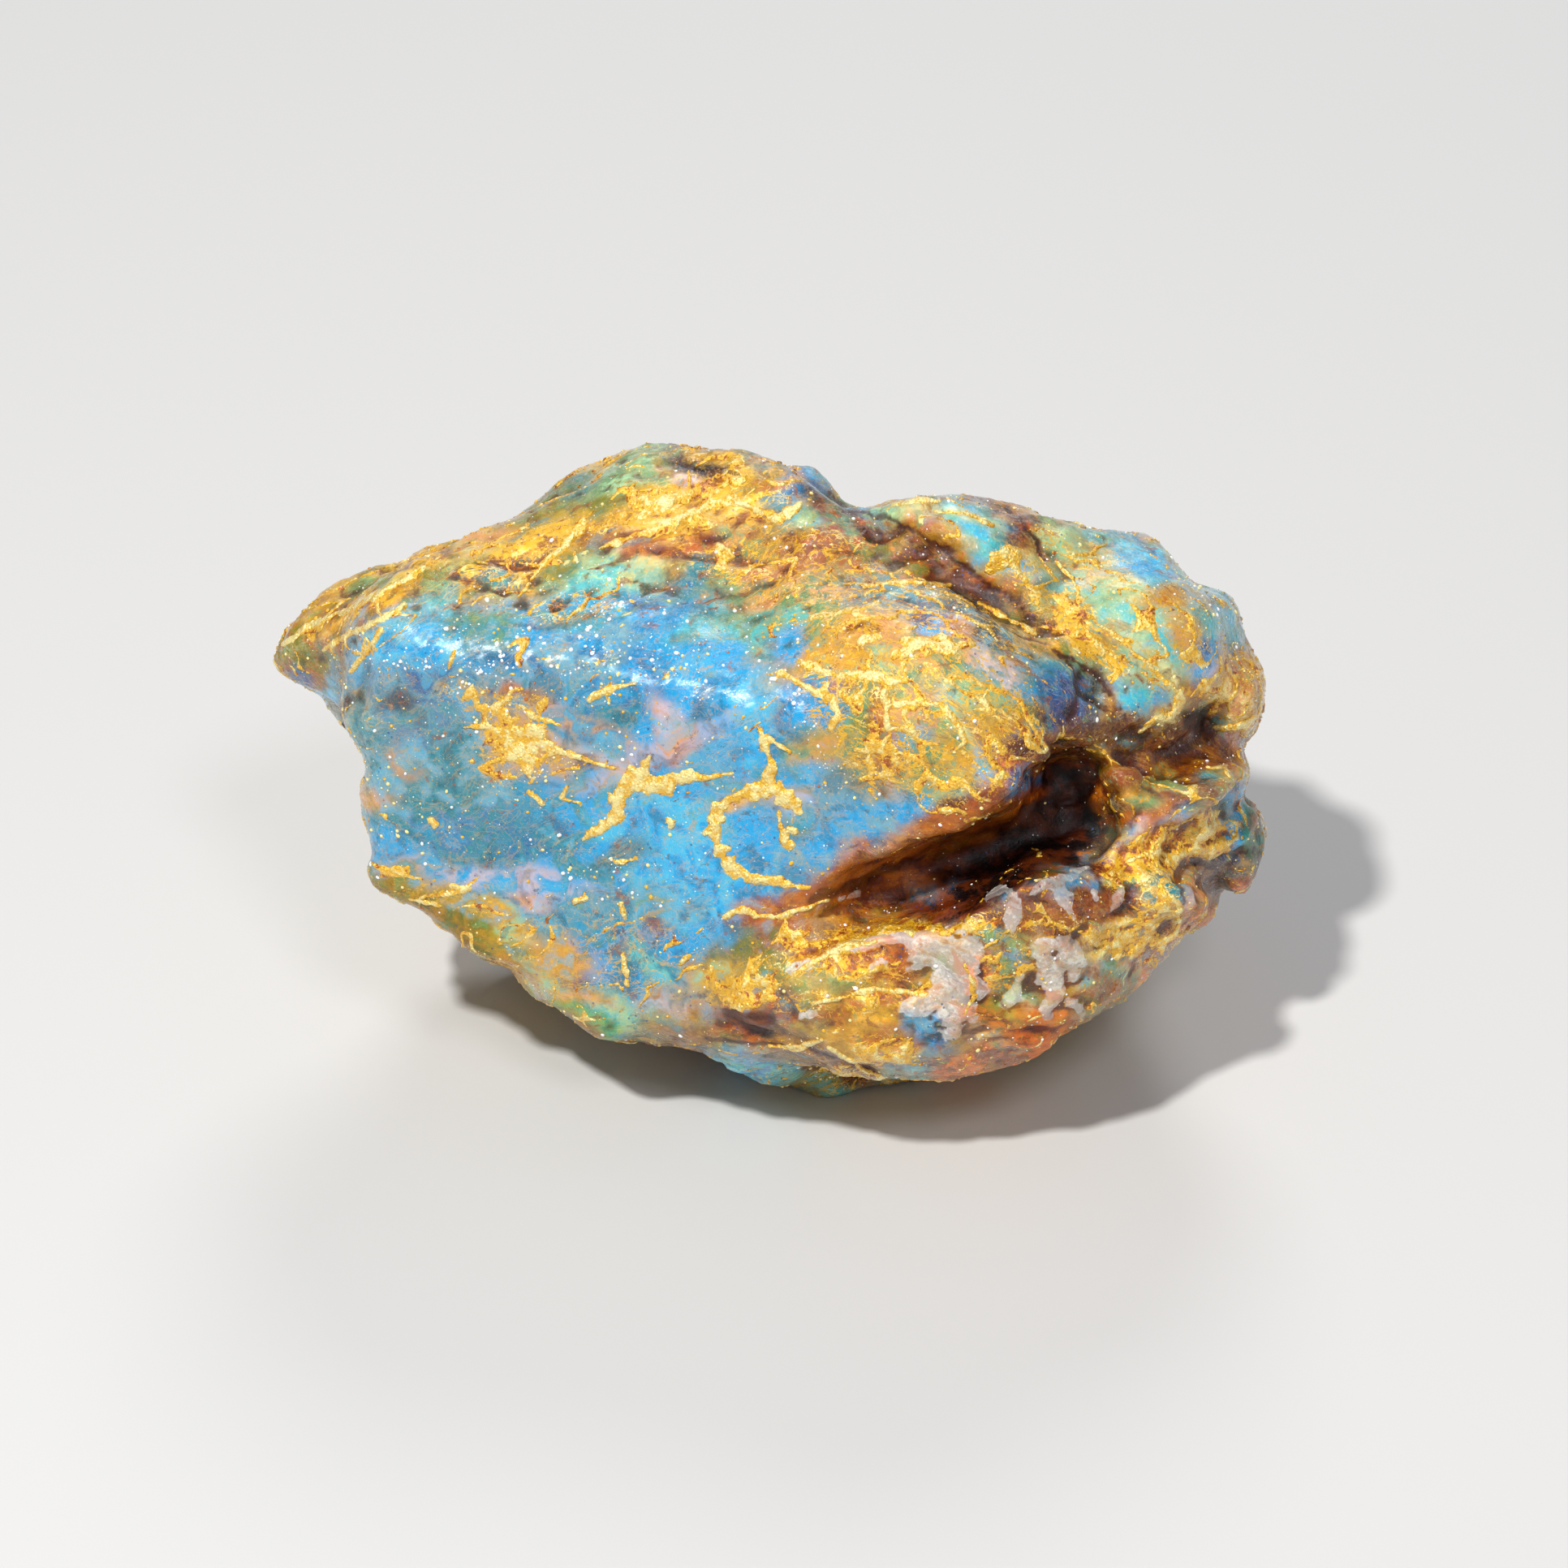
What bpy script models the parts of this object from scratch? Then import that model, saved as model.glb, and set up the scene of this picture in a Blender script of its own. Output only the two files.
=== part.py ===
"""A rough piece of blue amber, one stone about 45 mm long that rests on a small flat of its underside.

The stone is described the way a hand turns it to look: from the front and VIEW_TILT above the level.
A place is (across, up, deep) in millimetres as seen from there: across to the right, up in the picture,
deep away from the eye. `seen` turns such a place into a point of the part's own frame, in metres, +Z up.

The form is made like a knapped pebble. A block is lofted from the outline, flat facets are struck off it,
lobes are fused on, hollows and grooves are cut in, and the whole is weathered.
"""

import math

import bmesh
import bpy
import numpy as np
from mathutils import Matrix, Vector, noise
from mathutils.bvhtree import BVHTree

MM = 0.001
VIEW_TILT = math.radians(35)
REST_HEIGHT = 12.8  # of the outline's centre above the flat that the stone rests on, mm
TRIANGLES = 9600
EYE_DISTANCE = 60  # that lines of sight start from, mm
COARSE_GRAIN = 0.55  # mesh spacing while lobes are fused, mm
TOOL_GRAIN = 0.25  # mesh spacing of what the hollows are cut with, mm
FINE_GRAIN = 0.34  # mesh spacing while the surface is weathered, mm

# The stone's edge as seen, clockwise from the left shoulder: (across, up)
OUTLINE = [
    (-19.2, 4.6), (-18.4, 0.7), (-18.3, -1.3), (-18.2, -4.0), (-17.6, -5.4), (-16.2, -6.1),
    (-13.5, -7.8), (-10.3, -10.2), (-6.7, -11.7), (-2.7, -12.8), (0.7, -15.2), (2.8, -15.9),
    (6.4, -14.8), (10.3, -13.6), (12.4, -12.3), (14.8, -10.3), (16.0, -8.7), (17.0, -7.5),
    (19.4, -6.5), (21.0, -4.9), (21.7, -3.2), (21.2, -1.2), (21.3, 0.6), (22.1, 3.2),
    (22.2, 5.4), (20.5, 8.0), (17.0, 9.6), (13.0, 11.0), (8.7, 12.4), (5.3, 12.2), (3.4, 11.6),
    (2.0, 12.6), (-0.1, 14.0), (-4.1, 15.1), (-5.5, 15.3), (-6.8, 14.5), (-9.2, 12.5),
    (-11.9, 11.2), (-14.7, 9.9), (-16.7, 8.9), (-18.6, 7.2),
]

# How the outline swells and shrinks through the stone: (deep, share of the outline, shift up)
SECTIONS = [
    (-14.5, 0.52, 0.0), (-13.0, 0.79, 0.0), (-10.5, 0.935, 0.0), (-7.0, 0.985, 0.0),
    (-2.0, 1.0, 0.0), (4.0, 0.97, 0.0), (8.0, 0.90, -0.3), (12.0, 0.74, -0.8), (15.0, 0.46, -1.4),
]

# Flats struck off the block: (azimuth, elevation, distance from the centre). Azimuth 0 faces the viewer
# and 90 the right; elevation is above the level. Degrees and mm.
FACETS = {
    "blue front face": (-16, 13, 11.0),
    "top slope": (-12, 68, 12.6),
    "right slope": (48, 56, 15.6),
    "right front": (52, 2, 17.2),
    "lower front": (14, -32, 13.6),
    "back slope": (172, 40, 12.4),
    "back left": (-140, 12, 15.4),
    "back right": (134, 16, 16.6),
    "back foot": (178, -24, 12.6),
    "back left foot": (-128, -30, 15.0),
    "left end": (-98, -22, 17.6),
    "right end": (96, -24, 18.6),
    "under left": (-84, -50, 15.6),
    "under right": (80, -54, 16.4),
    "under back": (160, -58, 13.6),
}

# Lobes fused to the block: (place, half sizes across/up/deep, roll in degrees, anticlockwise as seen)
LOBES = {
    "middle dome": ((6.6, 2.6, -6.4), (9.0, 6.2, 8.4), -8),
    "right crown": ((15.4, 5.6, -2.8), (5.8, 4.5, 7.0), -26),
    "right bulb": ((20.7, 3.4, -2.2), (1.8, 2.4, 3.8), 0),
    "right wall": ((15.9, -1.7, -4.6), (4.4, 3.4, 5.4), 0),
    "right mound": ((17.6, -1.6, -7.6), (2.2, 1.5, 2.2), 12),
    "right nodule": ((20.8, -3.2, -1.6), (1.6, 2.7, 3.6), -8),
    "lens": ((8.8, 10.2, -6.6), (4.2, 1.8, 3.4), -27),
    "lower lip": ((6.9, -9.0, -5.6), (10.3, 4.5, 5.8), 7),
    "lower shelf": ((10.6, -7.2, -9.6), (4.6, 2.4, 2.6), 16),
    "lower right knob": ((14.2, -5.3, -4.8), (3.6, 3.1, 5.2), 10),
    "lower nub": ((16.3, -5.2, -8.0), (1.6, 1.4, 2.0), 0),
    "left tip": ((-15.8, 7.3, 0.6), (6.4, 2.4, 6.4), 22),
    "left tip end": ((-19.9, 6.1, 1.6), (3.4, 2.3, 4.6), 18),
    "left tip keel": ((-19.4, 3.9, 1.6), (2.9, 1.3, 3.6), -50),
    "crest": ((-5.2, 12.6, -1.0), (4.6, 2.4, 6.0), 6),
    "crest nub": ((0.9, 12.5, -2.2), (1.6, 1.4, 2.4), -20),
    "back hump": ((5.0, 3.0, 8.5), (11.0, 8.0, 6.4), 14),
    "back heel": ((-8.0, -3.5, 7.6), (8.4, 6.6, 7.0), -20),
}

# Flats struck off the lobes, measured as the facets are
CHIPS = {
    "tip from behind": (-128, 30, 19.4),
    "tip from below": (-96, -40, 18.4),
    "hump": (152, 20, 14.8),
    "heel": (-152, -8, 14.2),
    "heel foot": (-166, -42, 12.0),
    "crown from behind": (112, 44, 19.4),
}

# Hollows cut out: (place, half sizes, roll)
HOLLOWS = {
    "cavity under the dome": ((8.4, -4.0, -12.8), (8.6, 1.9, 5.4), 22),
    "cavity throat": ((13.0, -1.7, -11.6), (2.5, 3.1, 4.8), -8),
    "hole": ((19.4, 2.3, -7.4), (0.7, 1.2, 3.4), 14),
    "pocket in the lower lobe": ((6.4, -9.0, -12.4), (2.4, 0.8, 2.2), 10),
    "scoop in the back": ((-6.0, 5.0, 18.2), (7.5, 5.5, 5.4), 30),
}

# Grooves that follow the surface: points (across, up) with the groove's half width there, mm
GROOVES = {
    "groove below the lens": [
        (2.9, 11.4, 0.7), (4.6, 10.5, 1.0), (7.0, 9.0, 1.2), (9.2, 7.9, 1.2),
        (11.6, 6.7, 0.9), (13.2, 5.8, 0.5),
    ],
    "groove behind the lens": [(11.6, 10.8, 0.45), (12.2, 10.0, 0.7), (12.8, 8.9, 0.6), (13.0, 7.6, 0.4)],
    "crevice of the left tip": [
        (-15.8, 8.0, 0.25), (-17.2, 6.2, 0.4), (-18.4, 4.8, 0.55), (-18.6, 3.6, 0.7), (-18.2, 2.2, 0.7),
    ],
    "fold beside the dome": [
        (10.4, 6.9, 0.3), (12.4, 5.4, 0.45), (14.2, 3.6, 0.7), (15.0, 1.6, 1.0), (14.6, 0.4, 1.0),
    ],
    "right recess": [(15.4, 1.2, 0.9), (17.0, 0.9, 0.8), (18.4, 0.9, 0.7), (19.4, 0.8, 0.4)],
    "notch in the lower edge": [(-3.0, -10.9, 0.4), (-1.4, -11.6, 0.8), (0.2, -12.1, 0.7), (1.8, -12.0, 0.4)],
    "crest hollow": [(-4.4, 13.6, 0.4), (-3.0, 13.3, 0.7), (-1.6, 12.8, 0.4)],
    "shelf of the lower lobe": [(2.6, -9.8, 0.3), (6.0, -9.4, 0.6), (9.6, -9.9, 0.6), (12.8, -8.6, 0.4)],
    "step in the right side": [(17.9, -4.0, 0.4), (18.6, -2.8, 0.6), (19.3, -1.4, 0.5)],
}

# Weathering: (size of the lumps, how high they stand), mm
LUMPS = [(8.0, 0.50), (3.6, 0.28), (1.7, 0.14)]
SMOOTH_FACE_SHARE = 0.3  # of the lumps that stay on the water-worn blue face
# Ropy ridges of the crust on all other sides: their spacing, stretch along the stone and height, mm
RIDGE_SPACING = 3.4
RIDGE_STRETCH = 1.8
RIDGE_HEIGHT = 0.6


def seen(across, up, deep):
    """The point of the part's frame, in metres, at a place as seen, in millimetres."""
    return VIEW @ Vector((across, deep, up)) * MM


VIEW = Matrix.Translation((0, 0, REST_HEIGHT)) @ Matrix.Rotation(-VIEW_TILT, 4, "X")


def direction(azimuth, elevation):
    a, e = math.radians(azimuth), math.radians(elevation)
    return Vector((math.sin(a) * math.cos(e), -math.cos(a) * math.cos(e), math.sin(e)))


def clear_scene():
    for old in list(bpy.data.objects):
        bpy.data.objects.remove(old)


def add_object(name, mesh):
    piece = bpy.data.objects.new(name, mesh)
    bpy.context.scene.collection.objects.link(piece)
    return piece


def bake_modifiers(piece):
    """Turns the piece's modifiers into its mesh."""
    bpy.context.view_layer.update()
    graph = bpy.context.evaluated_depsgraph_get()
    piece.data = bpy.data.meshes.new_from_object(piece.evaluated_get(graph))
    piece.modifiers.clear()


def bake_modifiers_into(form, guide):
    """Adds the shape that a guide curve makes to the form."""
    bpy.context.view_layer.update()
    graph = bpy.context.evaluated_depsgraph_get()
    form.from_mesh(bpy.data.meshes.new_from_object(guide.evaluated_get(graph)))


def remesh(piece, grain, smoothing):
    """One even skin over all that the mesh holds, its sharp edges eased by rounds of smoothing."""
    skin = piece.modifiers.new("skin", "REMESH")
    skin.mode = "VOXEL"
    skin.voxel_size = grain * MM
    if smoothing:
        ease = piece.modifiers.new("ease", "SMOOTH")
        ease.factor = 0.5
        ease.iterations = smoothing
    bake_modifiers(piece)


def loft_block(form):
    """The outline carried through the stone, section by section, with both ends closed."""
    rings = []
    for deep, share, lift in SECTIONS:
        ring = [form.verts.new(seen(x * share, z * share + lift, deep)) for x, z in OUTLINE]
        rings.append([form.edges.new((v, ring[i - 1])) for i, v in enumerate(ring)])
    for ring, following in zip(rings, rings[1:]):
        bmesh.ops.bridge_loops(form, edges=ring + following)
    bmesh.ops.holes_fill(form, edges=rings[0] + rings[-1])
    bmesh.ops.recalc_face_normals(form, faces=form.faces)


def strike(form, flats):
    centre = seen(0, 0, 0)
    for azimuth, elevation, distance in flats.values():
        normal = direction(azimuth, elevation)
        cut_flat(form, centre + normal * distance * MM, normal)


def cut_flat(form, point, normal):
    """Takes away what lies beyond a plane and closes the cut with one flat face."""
    everything = form.verts[:] + form.edges[:] + form.faces[:]
    cut = bmesh.ops.bisect_plane(
        form, geom=everything, plane_co=point, plane_no=normal, clear_outer=True, dist=1e-6
    )
    rim = [e for e in cut["geom_cut"] if isinstance(e, bmesh.types.BMEdge)]
    bmesh.ops.holes_fill(form, edges=rim)


def add_ellipsoid(form, place, half_sizes, roll, fineness=4):
    wide, high, thick = half_sizes
    turned = Matrix.Rotation(-math.radians(roll), 4, "Y") @ Matrix.Diagonal((wide, thick, high, 1))
    across, up, deep = place
    put = Matrix.Translation(seen(across, up, deep)) @ VIEW.to_3x3().to_4x4()
    bmesh.ops.create_icosphere(
        form, subdivisions=fineness, radius=1, matrix=put @ Matrix.Scale(MM, 4) @ turned
    )


def mesh_from(form):
    mesh = bpy.data.meshes.new("form")
    form.to_mesh(mesh)
    form.free()
    return mesh


def ellipsoids(form, shapes):
    for place, half_sizes, roll in shapes.values():
        add_ellipsoid(form, place, half_sizes, roll)


def surface_place(tree, across, up):
    """Where the line of sight at (across, up) first meets the stone, or passes nearest to it."""
    sight = (seen(0, 0, 1) - seen(0, 0, 0)).normalized()
    met = tree.ray_cast(seen(across, up, -EYE_DISTANCE), sight)[0]
    return met or tree.find_nearest(seen(across, up, 0))[0]


def groove_worm(form, tree, name, points):
    """A worm of varying width, half sunk in the surface, that a groove is cut with."""
    worm = bpy.data.curves.new(name, "CURVE")
    worm.dimensions = "3D"
    worm.bevel_depth = MM
    worm.bevel_resolution = 2
    worm.use_fill_caps = True
    spline = worm.splines.new("POLY")
    spline.points.add(len(points) - 1)
    for point, (across, up, half_width) in zip(spline.points, points):
        point.co = (*surface_place(tree, across, up), 1)
        point.radius = half_width
    guide = add_object(name, worm)
    bake_modifiers_into(form, guide)
    bpy.data.objects.remove(guide)


def cutting_tool(stone):
    """All hollows and grooves as one closed shape, the grooves laid along the uncut surface."""
    tree = BVHTree.FromPolygons(
        [v.co for v in stone.data.vertices], [p.vertices for p in stone.data.polygons]
    )
    form = bmesh.new()
    ellipsoids(form, HOLLOWS)
    for name, points in GROOVES.items():
        groove_worm(form, tree, name, points)
    tool = add_object("cutting tool", mesh_from(form))
    remesh(tool, TOOL_GRAIN, smoothing=0)
    return tool


def cut_out(stone, tool):
    cut = stone.modifiers.new("cut", "BOOLEAN")
    cut.operation = "DIFFERENCE"
    cut.object = tool
    bake_modifiers(stone)
    bpy.data.objects.remove(tool)


def ropy_ridge(place):
    """From -1 in the hollows to 1 on the crests of winding ridges that run along the stone."""
    bend = noise.noise_vector(place / (3 * RIDGE_SPACING)) * RIDGE_SPACING
    x, y, z = (place + bend) / RIDGE_SPACING
    wave = noise.noise(Vector((x / RIDGE_STRETCH, y, z)))
    return 1 - 4 * abs(wave)


def weather(mesh):
    """Raises and sinks the surface along its normals, least on the smooth blue face."""
    face = direction(*FACETS["blue front face"][:2])
    moved = []
    for vertex in mesh.vertices:
        place, normal = vertex.co / MM, vertex.normal
        rough = 1 - max(0.0, normal.dot(face)) ** 4
        share = SMOOTH_FACE_SHARE + (1 - SMOOTH_FACE_SHARE) * rough
        rise = sum(
            height * noise.noise(place / size + Vector((7.1, 3.3, 1.9)) * order)
            for order, (size, height) in enumerate(LUMPS)
        )
        rise = rise * share + ropy_ridge(place) * rough * RIDGE_HEIGHT / 2
        moved.append(vertex.co + normal * rise * MM)
    for vertex, place in zip(mesh.vertices, moved):
        vertex.co = place


def thin_out(stone):
    """Leaves the triangles where the surface bends."""
    thin = stone.modifiers.new("thin", "DECIMATE")
    thin.ratio = TRIANGLES / sum(len(p.vertices) - 2 for p in stone.data.polygons)
    thin.use_collapse_triangulate = True
    bake_modifiers(stone)


def chip(stone):
    form = bmesh.new()
    form.from_mesh(stone.data)
    strike(form, CHIPS)
    form.to_mesh(stone.data)
    form.free()


def flatten_base(stone):
    form = bmesh.new()
    form.from_mesh(stone.data)
    cut_flat(form, Vector((0, 0, 0)), Vector((0, 0, -1)))
    form.to_mesh(stone.data)
    form.free()


def centre_on_base(mesh):
    """Puts the origin under the middle of the stone, on the flat that it rests on."""
    corners = np.array([v.co for v in mesh.vertices])
    middle = (corners.min(0) + corners.max(0)) / 2
    mesh.transform(Matrix.Translation((-middle[0], -middle[1], 0)))


def amber_material():
    material = bpy.data.materials.new("blue_amber")
    material.use_nodes = True
    shader = material.node_tree.nodes["Principled BSDF"]
    shader.inputs["Base Color"].default_value = (0.13, 0.36, 0.50, 1)
    shader.inputs["Roughness"].default_value = 0.3
    shader.inputs["Metallic"].default_value = 0.0
    return material


def main():
    clear_scene()
    form = bmesh.new()
    loft_block(form)
    strike(form, FACETS)
    ellipsoids(form, LOBES)
    stone = add_object("blue_amber", mesh_from(form))
    remesh(stone, COARSE_GRAIN, smoothing=0)
    chip(stone)
    remesh(stone, COARSE_GRAIN, smoothing=8)
    cut_out(stone, cutting_tool(stone))
    remesh(stone, FINE_GRAIN, smoothing=3)
    weather(stone.data)
    thin_out(stone)
    flatten_base(stone)
    centre_on_base(stone.data)
    stone.data.materials.append(amber_material())


main()
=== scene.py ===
"""A rough piece of blue amber: the milky blue stone and the gold crust that has grown on it.

Places on the stone are given in the pixels of a picture of it, 1932 wide and high, taken by the camera of
`set_camera`. A tone is laid on as soft strokes and patches there; where the picture shows nothing
of the stone, winding noise lays the same tones.
"""
import math

import bpy
import numpy as np
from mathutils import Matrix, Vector


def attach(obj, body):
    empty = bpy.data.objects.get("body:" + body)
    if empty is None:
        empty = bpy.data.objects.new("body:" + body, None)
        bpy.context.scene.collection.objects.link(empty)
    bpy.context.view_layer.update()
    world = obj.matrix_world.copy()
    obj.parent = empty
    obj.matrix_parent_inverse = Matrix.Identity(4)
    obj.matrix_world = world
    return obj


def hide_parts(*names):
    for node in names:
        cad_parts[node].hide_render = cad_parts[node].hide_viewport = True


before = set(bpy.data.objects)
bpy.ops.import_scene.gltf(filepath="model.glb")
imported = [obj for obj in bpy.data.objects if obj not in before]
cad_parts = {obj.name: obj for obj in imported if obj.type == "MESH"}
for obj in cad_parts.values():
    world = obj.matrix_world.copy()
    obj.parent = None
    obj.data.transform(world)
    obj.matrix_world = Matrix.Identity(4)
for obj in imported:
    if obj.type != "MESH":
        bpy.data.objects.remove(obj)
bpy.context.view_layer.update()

MM = 0.001
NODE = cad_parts["blue_amber"]
STONE_GRAIN = 0.24  # mesh spacing of the stone, mm

# The camera and the picture that places are given in
PICTURE = 1932
PIXEL = 0.037  # mm of the stone's middle plane that one pixel spans
LENS, SENSOR = 135.0, 36.0
TILT = math.radians(35)
CENTRE = np.array([0.165, -0.313, 12.8])  # mm, of the stone's outline
RIGHT = np.array([1.0, 0.0, 0.0])
UP = np.array([0.0, math.sin(TILT), math.cos(TILT)])
AWAY = np.array([0.0, math.cos(TILT), -math.sin(TILT)])
DISTANCE = LENS * PICTURE * PIXEL / SENSOR
TARGET = CENTRE + 0.52 * RIGHT - 0.59 * UP
EYE = TARGET - DISTANCE * AWAY


# noise
def gradient_table(seed):
    rng = np.random.default_rng(seed)
    vectors = rng.normal(size=(256, 3))
    return rng.permutation(256), vectors / np.linalg.norm(vectors, axis=1)[:, None]


def noise(points, size, seed=0):
    """Smooth noise from about -1 to 1, whose lumps are `size` across."""
    order, gradients = gradient_table(seed)
    p = points / size
    cell = np.floor(p).astype(np.int64)
    f = p - cell
    u = f * f * f * (f * (f * 6 - 15) + 10)
    total = np.zeros(len(p))
    for dx in (0, 1):
        for dy in (0, 1):
            for dz in (0, 1):
                h = order[(cell[:, 0] + dx) & 255]
                h = order[(h + cell[:, 1] + dy) & 255]
                h = order[(h + cell[:, 2] + dz) & 255]
                g = gradients[h]
                away = f - (dx, dy, dz)
                w = np.where(dx, u[:, 0], 1 - u[:, 0])
                w = w * np.where(dy, u[:, 1], 1 - u[:, 1])
                w = w * np.where(dz, u[:, 2], 1 - u[:, 2])
                total += w * np.einsum("ij,ij->i", g, away)
    return total * 1.5


def fractal(points, size, octaves=3, fade=0.5, seed=0):
    total, weight, share = 0.0, 0.0, 1.0
    for k in range(octaves):
        total = total + share * noise(points, size / 2**k, seed + 31 * k)
        weight += share
        share *= fade
    return total / weight


def threads(points, size, seed=0, octaves=2):
    """1 on a web of winding lines, falling to 0 between them."""
    total = np.zeros(len(points))
    for k in range(octaves):
        line = 1 - np.abs(noise(points, size / 1.8**k, seed + 17 * k)) * 2.2
        total = np.maximum(total, np.clip(line, 0, 1) * 0.85**k)
    return total


def warp(points, size, reach, seed=0):
    shift = np.stack([noise(points, size, seed + 101 * k) for k in range(3)], axis=1)
    return points + reach * shift


def step(low, high, x):
    t = np.clip((x - low) / (high - low), 0, 1)
    return t * t * (3 - 2 * t)


# places on the stone
def picture_place(points):
    """Where each point shows in the picture, in pixels across and down."""
    rel = points - EYE
    scale = LENS / SENSOR * PICTURE / (rel @ AWAY)
    return PICTURE / 2 + (rel @ RIGHT) * scale, PICTURE / 2 - (rel @ UP) * scale


def patch_depth(x, y, across, down, long, wide, angle):
    """How far inside an oval each place is, in pixels, from its shorter half width at the middle."""
    a = math.radians(angle)
    dx, dy = x - across, down - y
    q = np.hypot((dx * math.cos(a) + dy * math.sin(a)) / long, (dy * math.cos(a) - dx * math.sin(a)) / wide)
    return (1 - q) * min(long, wide)


def line_depth(x, y, points):
    """How far inside a line each place is, as a share of the line's half width there."""
    best = np.full(len(x), -9.0)
    for (x0, y0, w0), (x1, y1, w1) in zip(points, points[1:]):
        dx, dy = x1 - x0, y1 - y0
        t = np.clip(((x - x0) * dx + (y - y0) * dy) / (dx * dx + dy * dy), 0, 1)
        away = np.hypot(x - x0 - t * dx, y - y0 - t * dy)
        best = np.maximum(best, 1 - away / (w0 + (w1 - w0) * t))
    return best


def linear(red, green, blue):
    """A colour of eight-bit sRGB values as the shader takes it."""
    return tuple((v / 255) ** 2.2 for v in (red, green, blue)) + (1.0,)


PALETTE = {
    "azure": linear(14, 162, 222), "pale azure": linear(66, 188, 230), "deep azure": linear(12, 106, 160),
    "indigo": linear(30, 62, 128), "teal": linear(46, 134, 148), "dark teal": linear(16, 74, 92),
    "turquoise": linear(78, 194, 196), "slate": linear(108, 158, 176), "lilac": linear(200, 186, 200),
    "sage": linear(106, 150, 100), "mint": linear(158, 202, 152), "olive": linear(116, 116, 28),
    "honey": linear(200, 146, 26), "gold": linear(242, 184, 38), "cream": linear(252, 232, 150),
    "amber": linear(190, 100, 8), "orange": linear(240, 118, 0), "peach": linear(222, 152, 92),
    "rust": linear(150, 70, 8), "brown": linear(78, 34, 6), "dark": linear(18, 7, 4),
    "smoke": linear(56, 74, 80), "bronze": linear(150, 86, 8),
}

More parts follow.
